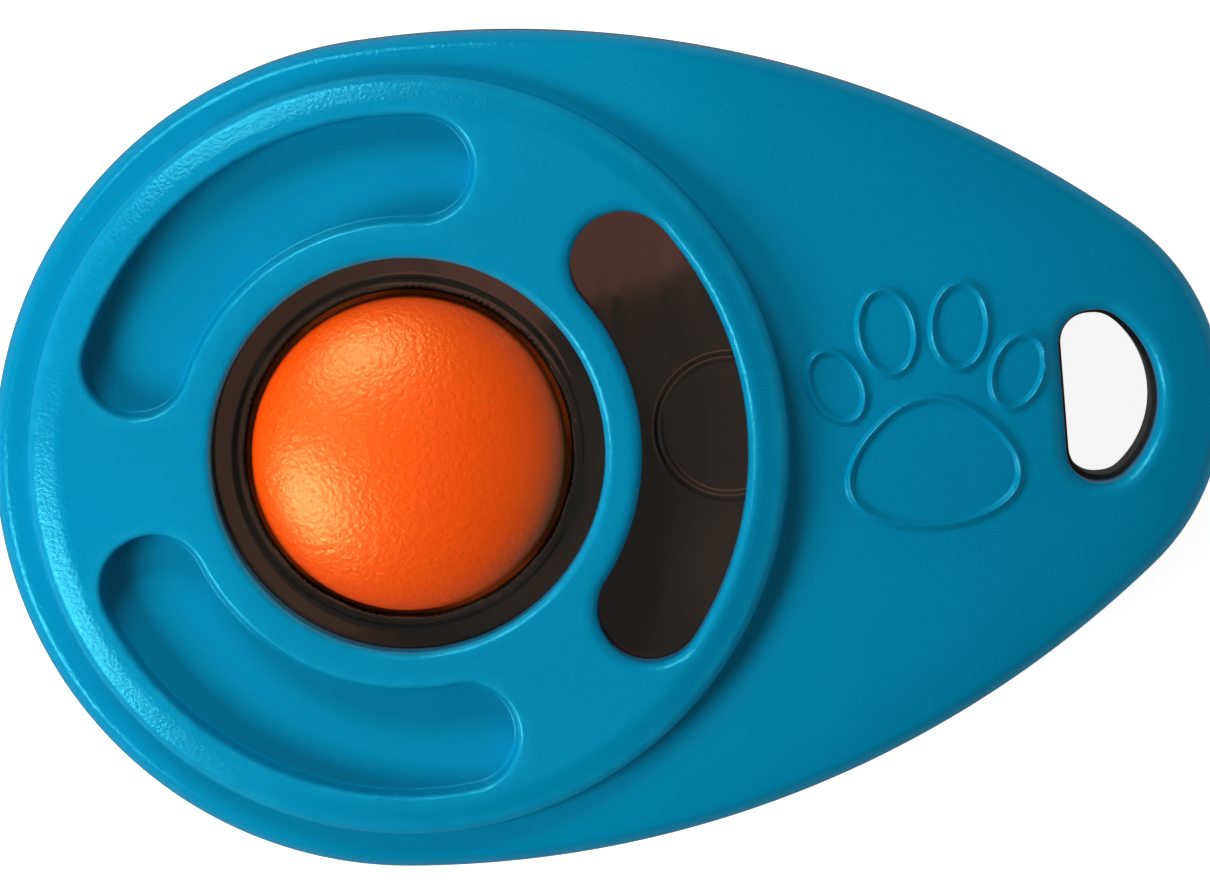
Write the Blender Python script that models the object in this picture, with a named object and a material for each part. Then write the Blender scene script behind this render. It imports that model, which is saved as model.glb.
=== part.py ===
"""Handheld clicker trainer: teardrop case, domed push button and spring-steel click strip.

Frame: the origin is on the button's axis at the flat back face, +X runs along the case to the
lanyard eye, +Z goes up through the button. Lengths are in metres.
"""
import math

import bmesh
import bpy
from mathutils import Matrix

MM = 0.001

# Case outline: a head circle and a tail circle, joined by two long flank arcs tangent to both.
HEAD_RADIUS = 21.45 * MM
TAIL_RADIUS = 11.48 * MM
TAIL_X = 31.06 * MM
FLANK_RADIUS = 56.71 * MM
OUTLINE_STEP = 4.5

# Case heights.
SEAM_LOW = 4.6 * MM
SEAM_HIGH = 4.9 * MM
BODY_TOP = 12.6 * MM
SLOPE_START = 5.0 * MM
SLOPE_RATE = 3.27
TURRET_TOP = 14.0 * MM
EDGE_IN = 1.0 * MM
EDGE_DROP = 1.3 * MM
BACK_EDGE = 1.6 * MM
WALL = 1.6 * MM
FLOOR = 1.5 * MM
GAP = 0.3 * MM
BEYOND = 2.0 * MM

# Turret: the raised disc round the button, with its opening and three curved slots.
TURRET_RADIUS = 19.9 * MM
TURRET_FILLET = 1.7 * MM
TURRET_HOLLOW = 18.5 * MM
TURRET_ROOF = 1.5 * MM
OPENING_RADIUS = 10.18 * MM
OPENING_WALL = 1.2 * MM
SLOT_MID_RADIUS = 14.84 * MM
SLOT_HALF_WIDTH = 2.75 * MM
SLOT_HALF_ANGLE = 37.0
SLOT_WALL = 1.1 * MM
SLOT_ANGLES = (0.0, 120.0, 240.0)
POCKET_FLOOR = 11.7 * MM
POCKET_UNDER = 10.7 * MM
SKIRT_UNDER = 10.6 * MM

# Deck: the plate under the turret that guides the button.
DECK_TOP = 10.2 * MM
DECK_UNDER = 8.7 * MM
DECK_RADIUS = 18.2 * MM
DECK_HOLE = 8.45 * MM
COLLAR_INNER = 9.7 * MM
COLLAR_OUTER = 10.7 * MM
COLLAR_UNDER = 6.4 * MM
BOSS_X = 16.65 * MM
BOSS_RADIUS = 3.95 * MM
BOSS_RISE = 0.16 * MM
BOSS_RIM = 0.4 * MM
BOSS_DISH = 0.1 * MM
GUIDE_RADIUS = 9.3 * MM
GUIDE_RISE = 0.16 * MM
STAY_RADIUS = 15.5 * MM
STAY_ANGLES = (60.0, 180.0, 300.0)
DECK_PAD_RADIUS = 1.4 * MM
DECK_POST_RADIUS = 1.8 * MM

# Button: a hollow dome with a retaining flange and a central plunger.
BUTTON_RADIUS = 8.15 * MM
BUTTON_DRAFT = 0.05 * MM
BUTTON_SHOULDER = 12.0 * MM
BUTTON_APEX = 15.3 * MM
DOME_POWER = 1.24
BUTTON_WALL = 1.2 * MM
FLANGE_RADIUS = 9.4 * MM
FLANGE_UNDER = 7.2 * MM
FLANGE_TOP = 8.4 * MM
PLUNGER_RADIUS = 1.6 * MM

# Click strip: a dimpled leaf of spring steel, held at its tail end on the back shell's pedestal.
STRIP_UNDER = 5.2 * MM
STRIP_THICK = 0.3 * MM
STRIP_FREE_X = -7.0 * MM
STRIP_HALF_WIDTH = 4.5 * MM
STRIP_CORNER = 1.5 * MM
DIMPLE_X = 8.0 * MM
DIMPLE_RADIUS = 2.5 * MM
DIMPLE_RISE = 0.4 * MM
PEDESTAL = (16.0 * MM, 22.0 * MM)
PEDESTAL_HALF_WIDTH = 5.2 * MM
CLAMP_THICK = 1.2 * MM
METAL_GAP = 0.15 * MM
CLAMP_SCREW_X = 19.0 * MM
CLAMP_SCREW_Y = 2.4 * MM
CLAMP_SCREW_HEAD = 1.8 * MM
CLAMP_SCREW_SHANK = 0.9 * MM

# Case screws, driven from the back into posts under the front shell.
CASE_SCREW_HEAD = 2.0 * MM
CASE_SCREW_SHANK = 1.0 * MM
CASE_SCREW_SUNK = 0.6 * MM
CASE_SCREW_HEAD_TALL = 1.5 * MM
CASE_SCREW_TIP = 7.4 * MM
COUNTERBORE_RADIUS = 2.3 * MM
POST_RADIUS = 2.6 * MM
TUBE_RADIUS = 3.3 * MM
TAIL_SCREW_X = 27.0 * MM
SIDE_SCREW_ANGLE = 120.0

# Lanyard eye: a D-shaped hole near the tail, bowed towards the tip.
EYE_LEFT = 34.3 * MM
EYE_BOW_X = 33.8 * MM
EYE_BOW_RADIUS = 3.55 * MM
EYE_CORNER = 1.5 * MM
EYE_HALF_HEIGHT = 4.25 * MM
EYE_WALL = 1.2 * MM
EYE_DRAFT = 0.25 * MM
RIM_TOP = 5.5 * MM
RIM_THICK = 1.0 * MM

# Raised outline of a paw between the turret and the eye.
MARK_X = 27.1 * MM
MARK_RISE = 0.26 * MM
MARK_LINE = 0.6 * MM
MARK_SOFT = 0.12 * MM
MARK_ROOT = 0.6 * MM
PAD_CENTRE = (0.0, -2.6 * MM)
PAD_SIZE = (4.3 * MM, 3.3 * MM)
PAD_TAPER = 0.28
TOES = (
    (-1.9 * MM, 4.3 * MM, 1.45 * MM, 2.2 * MM, 6.0),
    (1.9 * MM, 4.3 * MM, 1.45 * MM, 2.2 * MM, -6.0),
    (-4.75 * MM, 1.7 * MM, 1.3 * MM, 1.95 * MM, 24.0),
    (4.75 * MM, 1.7 * MM, 1.3 * MM, 1.95 * MM, -24.0),
)

BLUE = (0.0, 0.216, 0.434)
BLACK = (0.02, 0.018, 0.016)
ORANGE = (0.89, 0.09, 0.008)
STEEL = (0.62, 0.62, 0.61)
ZINC = (0.55, 0.54, 0.5)


# ---------------------------------------------------------------- plane outlines


def polar(radius, degrees):
    angle = math.radians(degrees)
    return radius * math.cos(angle), radius * math.sin(angle)


def arc_loop(arcs, grow=0.0, step=OUTLINE_STEP):
    """Closed loop along arcs (cx, cy, radius, start, end), pushed outwards by grow.

    An arc whose end is below its start runs clockwise: it is concave and shrinks as the loop grows.
    """
    points = []
    for cx, cy, radius, start, end in arcs:
        reach = radius + grow if end > start else radius - grow
        count = max(1, math.ceil(abs(end - start) / step))
        for i in range(count + 1):
            x, y = polar(reach, start + (end - start) * i / count)
            point = (cx + x, cy + y)
            if not points or math.dist(points[-1], point) > 1e-7:
                points.append(point)
    if math.dist(points[0], points[-1]) < 1e-7:
        points.pop()
    return points


def teardrop_arcs():
    """The case outline, starting at the tip of the tail and running anticlockwise."""
    to_head = FLANK_RADIUS - HEAD_RADIUS
    to_tail = FLANK_RADIUS - TAIL_RADIUS
    centre_x = (to_head**2 - to_tail**2 + TAIL_X**2) / (2.0 * TAIL_X)
    centre_y = math.sqrt(to_head**2 - centre_x**2)
    head_angle = math.degrees(math.atan2(centre_y, -centre_x))
    tail_angle = math.degrees(math.atan2(centre_y, TAIL_X - centre_x))
    return (
        (TAIL_X, 0.0, TAIL_RADIUS, 0.0, tail_angle),
        (centre_x, -centre_y, FLANK_RADIUS, tail_angle, head_angle),
        (0.0, 0.0, HEAD_RADIUS, head_angle, 180.0),
        (0.0, 0.0, HEAD_RADIUS, 180.0, 360.0 - head_angle),
        (centre_x, centre_y, FLANK_RADIUS, 360.0 - head_angle, 360.0 - tail_angle),
        (TAIL_X, 0.0, TAIL_RADIUS, 360.0 - tail_angle, 360.0),
    )


def slot_arcs(middle):
    """A curved slot with round ends, centred on the direction middle."""
    first = middle - SLOT_HALF_ANGLE
    last = middle + SLOT_HALF_ANGLE
    far_x, far_y = polar(SLOT_MID_RADIUS, last)
    near_x, near_y = polar(SLOT_MID_RADIUS, first)
    return (
        (0.0, 0.0, SLOT_MID_RADIUS + SLOT_HALF_WIDTH, first, last),
        (far_x, far_y, SLOT_HALF_WIDTH, last, last + 180.0),
        (0.0, 0.0, SLOT_MID_RADIUS - SLOT_HALF_WIDTH, last, first),
        (near_x, near_y, SLOT_HALF_WIDTH, first + 180.0, first + 360.0),
    )


def eye_arcs():
    """The lanyard eye: flat towards the turret, bowed towards the tip, with round corners."""
    half = EYE_HALF_HEIGHT - EYE_CORNER
    bow = math.degrees(math.asin(half / EYE_BOW_RADIUS))
    corner_x = EYE_BOW_X + math.sqrt(EYE_BOW_RADIUS**2 - half**2)
    left_x = EYE_LEFT + EYE_CORNER
    return (
        (EYE_BOW_X, 0.0, EYE_BOW_RADIUS + EYE_CORNER, -bow, bow),
        (corner_x, half, EYE_CORNER, bow, 90.0),
        (left_x, half, EYE_CORNER, 90.0, 180.0),
        (left_x, -half, EYE_CORNER, 180.0, 270.0),
        (corner_x, -half, EYE_CORNER, 270.0, 360.0 - bow),
    )


def box_arcs(low_x, high_x, half_width, corner):
    """A rectangle with round corners, centred on the X axis."""
    side = half_width - corner
    return (
        (high_x - corner, side, corner, 0.0, 90.0),
        (low_x + corner, side, corner, 90.0, 180.0),
        (low_x + corner, -side, corner, 180.0, 270.0),
        (high_x - corner, -side, corner, 270.0, 360.0),
    )


def toe_loop(cx, cy, half_x, half_y, tilt, grow):
    turn = math.radians(tilt)
    loop = []
    for i in range(20):
        x, y = polar(1.0, 18.0 * i)
        x *= half_x + grow
        y *= half_y + grow
        loop.append((
            MARK_X + cx + x * math.cos(turn) - y * math.sin(turn),
            cy + x * math.sin(turn) + y * math.cos(turn),
        ))
    return loop


def pad_loop(grow):
    """The paw's main pad: an egg outline, wider at its heel."""
    loop = []
    for i in range(28):
        x, y = polar(1.0, 360.0 * i / 28)
        x *= (PAD_SIZE[0] + grow) * (1.0 - PAD_TAPER * y)
        loop.append((MARK_X + PAD_CENTRE[0] + x, PAD_CENTRE[1] + (PAD_SIZE[1] + grow) * y))
    return loop


def top_height(x):
    """Height of the case's upper surface: level over the head, falling towards the tail."""
    run = max(0.0, x - SLOPE_START)
    return BODY_TOP - SLOPE_RATE * run * run


# ---------------------------------------------------------------- solids


def material(name, colour, roughness, metallic=0.0):
    made = bpy.data.materials.new(name)
    made.use_nodes = True
    shader = made.node_tree.nodes["Principled BSDF"]
    shader.inputs["Base Color"].default_value = (*colour, 1.0)
    shader.inputs["Roughness"].default_value = roughness
    shader.inputs["Metallic"].default_value = metallic
    return made


def add_object(name, bm):
    bmesh.ops.recalc_face_normals(bm, faces=bm.faces)
    mesh = bpy.data.meshes.new(name)
    bm.to_mesh(mesh)
    bm.free()
    made = bpy.data.objects.new(name, mesh)
    bpy.context.scene.collection.objects.link(made)
    return made


def loft(name, rings, strips=False):
    """Solid through rings of equal count. strips caps a mirrored teardrop ring across its width."""
    bm = bmesh.new()
    rows = [[bm.verts.new(point) for point in ring] for ring in rings]
    count = len(rows[0])
    for low, high in zip(rows, rows[1:]):
        for i in range(count):
            j = (i + 1) % count
            bm.faces.new((low[i], low[j], high[j], high[i]))
    for row in (rows[0], rows[-1]):
        if not strips:
            bm.faces.new(row)
            continue
        for i in range(count // 2):
            corners = (row[i], row[i + 1], row[count - i - 1], row[(count - i) % count])
            bm.faces.new(list(dict.fromkeys(corners)))
    return add_object(name, bm)


def prism(name, loop, low, high):
    return loft(name, [[(x, y, z) for x, y in loop] for z in (low, high)])


def turned(name, profile, steps=48, at=(0.0, 0.0)):
    """Solid of revolution from a profile of (radius, z) points, round the upright axis at a point."""
    bm = bmesh.new()
    verts = [bm.verts.new((radius, 0.0, z)) for radius, z in profile]
    edges = [bm.edges.new(pair) for pair in zip(verts, verts[1:])]
    if min(profile[0][0], profile[-1][0]) > 0.0:
        edges.append(bm.edges.new((verts[-1], verts[0])))
    bmesh.ops.spin(bm, geom=verts + edges, cent=(0.0, 0.0, 0.0), axis=(0.0, 0.0, 1.0),
                   angle=math.tau, steps=steps, use_merge=True)
    bmesh.ops.remove_doubles(bm, verts=bm.verts, dist=1e-7)
    bmesh.ops.transform(bm, matrix=Matrix.Translation((*at, 0.0)), verts=bm.verts)
    return add_object(name, bm)


def cylinder(name, at, radius, low, high, steps=24):
    return turned(name, [(0.0, high), (radius, high), (radius, low), (0.0, low)], steps, at)


def combine(target, tools, operation):
    """Add one Boolean of guide solids that don't touch each other, and hide them."""
    bm = bmesh.new()
    for tool in tools:
        part = tool.data.copy()
        part.transform(tool.matrix_basis)
        bm.from_mesh(part)
        bpy.data.objects.remove(tool, do_unlink=True)
    guide = add_object(f"{target.name}_{operation.lower()}_{len(target.modifiers)}", bm)
    guide.hide_render = True
    guide.display_type = "WIRE"
    change = target.modifiers.new(guide.name, "BOOLEAN")
    change.operation = operation
    change.solver = "EXACT"
    change.object = guide


def cut(target, *tools):
    combine(target, tools, "DIFFERENCE")


def join(target, *tools):
    combine(target, tools, "UNION")


def finish(piece, look, sharp=30.0):
    piece.data.materials.append(look)
    piece.data.shade_smooth()
    piece.data.set_sharp_from_angle(angle=math.radians(sharp))
    return piece


def teardrop(name, levels):
    """Loft of the case outline through (inset, height) levels; a height may follow the top."""
    arcs = teardrop_arcs()
    rings = []
    for inset, height in levels:
        loop = arc_loop(arcs, -inset)
        rings.append([(x, y, height(x) if callable(height) else height) for x, y in loop])
    return loft(name, rings, strips=True)


def below_top(drop):
    return lambda x: top_height(x) - drop


# ---------------------------------------------------------------- sub-parts


def screw_places():
    side_x, side_y = polar(SLOT_MID_RADIUS, SIDE_SCREW_ANGLE)
    return {
        "tail": (TAIL_SCREW_X, 0.0),
        "left": (side_x, side_y),
        "right": (side_x, -side_y),
    }


def make_front_shell(look):
    edge = [(EDGE_IN * (1.0 - math.cos(a)), below_top(EDGE_DROP * (1.0 - math.sin(a))))
            for a in (math.radians(18.0 * i) for i in range(6))]
    shell = teardrop("front_shell", [(0.0, SEAM_HIGH)] + edge)

    fillet = [(TURRET_RADIUS - TURRET_FILLET * (1.0 - math.sin(a)),
               TURRET_TOP - 0.5 * TURRET_FILLET * (1.0 - math.cos(a)))
              for a in (math.radians(18.0 * i) for i in range(6))]
    turret_foot = BODY_TOP - EDGE_DROP
    turret = turned("turret", [(0.0, TURRET_TOP)] + fillet
                    + [(TURRET_RADIUS, turret_foot), (0.0, turret_foot)], 60)
    cavity = teardrop("cavity", [
        (WALL, SEAM_LOW - 0.5 * MM),
        (WALL, below_top(WALL + 1.5 * MM)),
        (WALL + 0.5 * MM, below_top(WALL + 0.6 * MM)),
        (WALL + 1.7 * MM, below_top(WALL)),
    ])
    hollow = cylinder("turret_hollow", (0.0, 0.0), TURRET_HOLLOW, SEAM_LOW - BEYOND,
                      TURRET_TOP - TURRET_ROOF, 60)
    join(shell, turret)
    cut(shell, cavity)
    cut(shell, hollow)

    skirt_top = TURRET_TOP - 0.5 * TURRET_ROOF
    join(shell, cylinder("opening_skirt", (0.0, 0.0), OPENING_RADIUS + OPENING_WALL,
                         SKIRT_UNDER, skirt_top, 48))
    eye_wall = arc_loop(eye_arcs(), EYE_WALL + EYE_DRAFT, 15.0)
    walls = [prism("eye_wall", eye_wall, RIM_TOP + GAP, top_height(EYE_LEFT) - WALL)]
    for angle in SLOT_ANGLES:
        under = DECK_TOP + BOSS_RISE + GAP if angle == 0.0 else POCKET_UNDER
        loop = arc_loop(slot_arcs(angle), SLOT_WALL, 12.0)
        walls.append(prism("slot_wall", loop, under, skirt_top))
    join(shell, *walls)
    posts = []
    for name, (x, y) in screw_places().items():
        top = top_height(x) - 0.5 * WALL if name == "tail" else POCKET_UNDER + 0.5 * MM
        posts.append(screw_post("post", (x, y), top))
    join(shell, *posts)
    join(shell, *[mark_piece("mark", loop) for loop in mark_loops()])

    opening = cylinder("opening", (0.0, 0.0), OPENING_RADIUS, SKIRT_UNDER - BEYOND,
                       TURRET_TOP + BEYOND, 48)
    eye = prism("eye", arc_loop(eye_arcs(), EYE_DRAFT, 15.0), SEAM_LOW - BEYOND,
                BODY_TOP + BEYOND)
    slots = []
    for angle in SLOT_ANGLES:
        floor = SKIRT_UNDER - BEYOND if angle == 0.0 else POCKET_FLOOR
        loop = arc_loop(slot_arcs(angle), 0.0, 12.0)
        slots.append(prism("slot", loop, floor, TURRET_TOP + BEYOND))
    cut(shell, opening, eye, *slots)
    return finish(shell, look)


def screw_post(name, place, top):
    """Post under the front shell, with a blind pilot hole for a case screw."""
    pilot = CASE_SCREW_SHANK + METAL_GAP
    foot = SEAM_HIGH + 0.1 * MM
    profile = [
        (0.0, top),
        (POST_RADIUS, top),
        (POST_RADIUS, foot),
        (pilot, foot),
        (pilot, CASE_SCREW_TIP + GAP),
        (0.0, CASE_SCREW_TIP + GAP),
    ]
    return turned(name, profile, 24, place)


def mark_loops():
    """The paw's outlines, each as a function of how far it is grown."""
    loops = [pad_loop]
    for toe in TOES:
        loops.append(lambda grow, toe=toe: toe_loop(*toe, grow))
    return loops


def mark_piece(name, loop):
    """A low ridge with softened edges along a closed outline, following the slope of the case."""
    half = 0.5 * MARK_LINE
    side = [(half, -MARK_ROOT), (half, MARK_RISE - MARK_SOFT), (half - MARK_SOFT, MARK_RISE)]
    levels = side + [(-grow, rise) for grow, rise in reversed(side)]
    bm = bmesh.new()
    rows = [[bm.verts.new((x, y, top_height(x) + rise)) for x, y in loop(grow)] for grow, rise in levels]
    for low, high in zip(rows, rows[1:] + rows[:1]):
        for i in range(len(low)):
            bm.faces.new((low[i], low[i - 1], high[i - 1], high[i]))
    return add_object(name, bm)


def rim_height(x):
    """Top of the back shell's locating rim, kept under the falling roof at the tail."""
    return min(RIM_TOP, top_height(x) - WALL - 1.5 * MM)


def make_back_shell(look):
    shell = teardrop("back_shell", [
        (BACK_EDGE, 0.0),
        (0.6 * BACK_EDGE, 0.15 * BACK_EDGE),
        (0.25 * BACK_EDGE, 0.45 * BACK_EDGE),
        (0.0, 1.1 * BACK_EDGE),
        (0.0, SEAM_LOW),
    ])
    rim_inset = WALL + GAP
    hollow_inset = rim_inset + RIM_THICK
    join(shell, teardrop("rim", [(rim_inset, FLOOR), (rim_inset, rim_height)]))
    cut(shell, teardrop("hollow", [(hollow_inset, FLOOR), (hollow_inset, RIM_TOP + BEYOND)]))
    inside = 0.5 * FLOOR
    tubes = [cylinder("tube", place, TUBE_RADIUS, inside, SEAM_LOW + 0.1 * MM)
             for place in screw_places().values()]
    posts = [cylinder("deck_post", polar(STAY_RADIUS, angle), DECK_POST_RADIUS, inside,
                      DECK_UNDER - GAP, 20) for angle in STAY_ANGLES]
    block = arc_loop(box_arcs(*PEDESTAL, PEDESTAL_HALF_WIDTH, 0.8 * MM), 0.0, 45.0)
    pedestal = prism("pedestal", block, inside, STRIP_UNDER - METAL_GAP)
    eye_wall = prism("eye_wall", arc_loop(eye_arcs(), EYE_WALL, 15.0), inside, RIM_TOP)
    join(shell, pedestal, eye_wall, *posts)
    join(shell, *tubes)

    bores = [screw_bore("bore", place) for place in screw_places().values()]
    pilots = [cylinder("pilot", (CLAMP_SCREW_X, side * CLAMP_SCREW_Y), CLAMP_SCREW_SHANK + METAL_GAP,
                       1.5 * FLOOR, RIM_TOP + BEYOND, 16) for side in (-1.0, 1.0)]
    eye = prism("eye", arc_loop(eye_arcs(), 0.0, 15.0), -BEYOND, RIM_TOP + BEYOND)
    cut(shell, eye, *bores, *pilots)
    return finish(shell, look)


def screw_bore(name, place):
    """Cutter for a case screw: a clearance hole that opens into a counterbore at the back."""
    seat = CASE_SCREW_SUNK + CASE_SCREW_HEAD_TALL + METAL_GAP
    clearance = CASE_SCREW_SHANK + 0.25 * MM
    profile = [
        (0.0, RIM_TOP + BEYOND),
        (clearance, RIM_TOP + BEYOND),
        (clearance, seat),
        (COUNTERBORE_RADIUS, seat),
        (COUNTERBORE_RADIUS, -BEYOND),
        (0.0, -BEYOND),
    ]
    return turned(name, profile, 24, place)


def make_deck(look):
    far = DECK_RADIUS + 2.0 * BOSS_RADIUS
    bevel = 0.25 * BOSS_RISE
    deck = turned("click_deck", [
        (DECK_HOLE, DECK_TOP + GUIDE_RISE),
        (GUIDE_RADIUS - bevel, DECK_TOP + GUIDE_RISE),
        (GUIDE_RADIUS, DECK_TOP + GUIDE_RISE - bevel),
        (GUIDE_RADIUS, DECK_TOP),
        (DECK_RADIUS + GAP, DECK_TOP),
        (DECK_RADIUS + GAP, DECK_UNDER),
        (COLLAR_OUTER, DECK_UNDER),
        (COLLAR_OUTER, COLLAR_UNDER),
        (COLLAR_INNER, COLLAR_UNDER),
        (COLLAR_INNER, DECK_UNDER),
        (DECK_HOLE, DECK_UNDER),
    ], 48)
    boss_top = DECK_TOP + BOSS_RISE
    boss = turned("boss", [
        (0.0, boss_top - BOSS_DISH),
        (BOSS_RADIUS - BOSS_RIM - BOSS_DISH, boss_top - BOSS_DISH),
        (BOSS_RADIUS - BOSS_RIM, boss_top),
        (BOSS_RADIUS - bevel, boss_top),
        (BOSS_RADIUS, boss_top - bevel),
        (BOSS_RADIUS, DECK_UNDER + 0.4 * MM),
        (0.0, DECK_UNDER + 0.4 * MM),
    ], 32, (BOSS_X, 0.0))
    pads = [cylinder("pad", polar(STAY_RADIUS, angle), DECK_PAD_RADIUS, DECK_UNDER + 0.4 * MM,
                     TURRET_TOP - TURRET_ROOF - GAP, 16) for angle in STAY_ANGLES]
    join(deck, boss, *pads)
    rim = [(DECK_RADIUS, TURRET_TOP), (far, TURRET_TOP), (far, 0.0), (DECK_RADIUS, 0.0)]
    cut(deck, turned("trim", rim, 48))
    reach = POST_RADIUS + 1.3 * GAP
    notches = []
    for side in (-1.0, 1.0):
        turn = side * math.radians(SIDE_SCREW_ANGLE)
        loop = arc_loop(box_arcs(SLOT_MID_RADIUS - reach, TURRET_RADIUS, reach, 0.9 * reach), 0.0, 15.0)
        notch = prism("notch", loop, COLLAR_UNDER, TURRET_TOP)
        notch.matrix_basis = Matrix.Rotation(turn, 4, "Z")
        notches.append(notch)
    cut(deck, *notches)
    return finish(deck, look)


def make_button(look):
    top = BUTTON_RADIUS - BUTTON_DRAFT
    rise = BUTTON_APEX - BUTTON_SHOULDER
    dome = [(top * math.sin(a), BUTTON_SHOULDER + rise * math.cos(a)**DOME_POWER)
            for a in (math.radians(9.0 * i) for i in range(10))] + [(top, BUTTON_SHOULDER)]
    inner = top - BUTTON_WALL
    inner_rise = rise - BUTTON_WALL
    meet = math.degrees(math.asin(PLUNGER_RADIUS / inner))
    vault = [(inner * math.sin(a), BUTTON_SHOULDER + inner_rise * math.cos(a)**DOME_POWER)
             for a in (math.radians(meet + (89.0 - meet) * i / 4) for i in (4, 3, 2, 1, 0))]
    plunger_tip = STRIP_UNDER + STRIP_THICK + GAP
    profile = dome + [
        (BUTTON_RADIUS, DECK_TOP),
        (BUTTON_RADIUS, FLANGE_TOP),
        (FLANGE_RADIUS, FLANGE_TOP),
        (FLANGE_RADIUS, FLANGE_UNDER),
        (inner, FLANGE_UNDER),
    ] + vault + [
        (PLUNGER_RADIUS, plunger_tip + 0.4 * MM),
        (PLUNGER_RADIUS - 0.4 * MM, plunger_tip),
        (0.0, plunger_tip),
    ]
    return finish(turned("button", profile, 40), look)


def dimple_profile(radius, rise, foot, root):
    """Shallow spherical cap of a given height over foot, closed below at root."""
    ball = (radius**2 + rise**2) / (2.0 * rise)
    half = math.asin(radius / ball)
    cap = [(ball * math.sin(half * i / 4), foot + rise - ball * (1.0 - math.cos(half * i / 4)))
           for i in range(5)]
    return cap + [(radius, root), (0.0, root)]


def make_strip(look):
    outline = arc_loop(box_arcs(STRIP_FREE_X, PEDESTAL[1], STRIP_HALF_WIDTH, STRIP_CORNER), 0.0, 15.0)
    top = STRIP_UNDER + STRIP_THICK
    strip = prism("click_strip", outline, STRIP_UNDER, top)
    place = (DIMPLE_X, 0.0)
    dome = dimple_profile(DIMPLE_RADIUS, DIMPLE_RISE, top, top - 0.5 * STRIP_THICK)
    dent = dimple_profile(DIMPLE_RADIUS - STRIP_THICK, DIMPLE_RISE, STRIP_UNDER, STRIP_UNDER - GAP)
    join(strip, turned("dome", dome, 32, place))
    cut(strip, turned("dent", dent, 32, place), *clamp_holes())
    return finish(strip, look)


def clamp_holes():
    """Cutters for the two clamp screws' holes."""
    return [cylinder("hole", (CLAMP_SCREW_X, side * CLAMP_SCREW_Y), CLAMP_SCREW_SHANK + METAL_GAP,
                     0.0, BODY_TOP, 16) for side in (-1.0, 1.0)]


def clamp_levels():
    low = STRIP_UNDER + STRIP_THICK + METAL_GAP
    return low, low + CLAMP_THICK


def make_clamp(look):
    low, high = clamp_levels()
    inset = 0.5 * MM
    outline = arc_loop(box_arcs(PEDESTAL[0] + inset, PEDESTAL[1] - inset,
                                STRIP_HALF_WIDTH + 0.2 * MM, 0.6 * MM), 0.0, 30.0)
    clamp = prism("strip_clamp", outline, low, high)
    cut(clamp, *clamp_holes())
    return finish(clamp, look)


def make_clamp_screw(name, side, look):
    head_low = clamp_levels()[1] + METAL_GAP
    head_top = head_low + 1.1 * MM
    soft = 0.4 * MM
    profile = [
        (0.0, head_top),
        (CLAMP_SCREW_HEAD - soft, head_top),
        (CLAMP_SCREW_HEAD, head_top - soft),
        (CLAMP_SCREW_HEAD, head_low),
        (CLAMP_SCREW_SHANK, head_low),
        (CLAMP_SCREW_SHANK, 2.0 * FLOOR),
        (0.0, 1.7 * FLOOR),
    ]
    return finish(turned(name, profile, 20, (CLAMP_SCREW_X, side * CLAMP_SCREW_Y)), look)


def make_case_screw(name, place, look):
    head_top = CASE_SCREW_SUNK + CASE_SCREW_HEAD_TALL
    soft = 0.4 * MM
    profile = [
        (0.0, CASE_SCREW_TIP),
        (CASE_SCREW_SHANK, CASE_SCREW_TIP - 2.0 * soft),
        (CASE_SCREW_SHANK, head_top),
        (CASE_SCREW_HEAD, head_top),
        (CASE_SCREW_HEAD, CASE_SCREW_SUNK + soft),
        (CASE_SCREW_HEAD - soft, CASE_SCREW_SUNK),
        (0.0, CASE_SCREW_SUNK),
    ]
    return finish(turned(name, profile, 20, place), look)


def main():
    for item in list(bpy.data.objects):
        bpy.data.objects.remove(item, do_unlink=True)
    blue = material("blue_shell", BLUE, 0.42)
    black = material("black_shell", BLACK, 0.45)
    gloss = material("gloss_black", BLACK, 0.12)
    orange = material("orange_button", ORANGE, 0.5)
    steel = material("spring_steel", STEEL, 0.28, 1.0)
    zinc = material("zinc_screw", ZINC, 0.35, 1.0)
    make_front_shell(blue)
    make_back_shell(black)
    make_deck(gloss)
    make_button(orange)
    make_strip(steel)
    make_clamp(steel)
    make_clamp_screw("clamp_screw_left", 1.0, zinc)
    make_clamp_screw("clamp_screw_right", -1.0, zinc)
    for name, place in screw_places().items():
        make_case_screw(f"case_screw_{name}", place, zinc)


main()
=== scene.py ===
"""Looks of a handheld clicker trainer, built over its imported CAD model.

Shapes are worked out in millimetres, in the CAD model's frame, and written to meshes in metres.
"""

import math

import bmesh
import bpy
import numpy as np
from mathutils import Matrix, Vector
from mathutils.geometry import delaunay_2d_cdt


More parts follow.
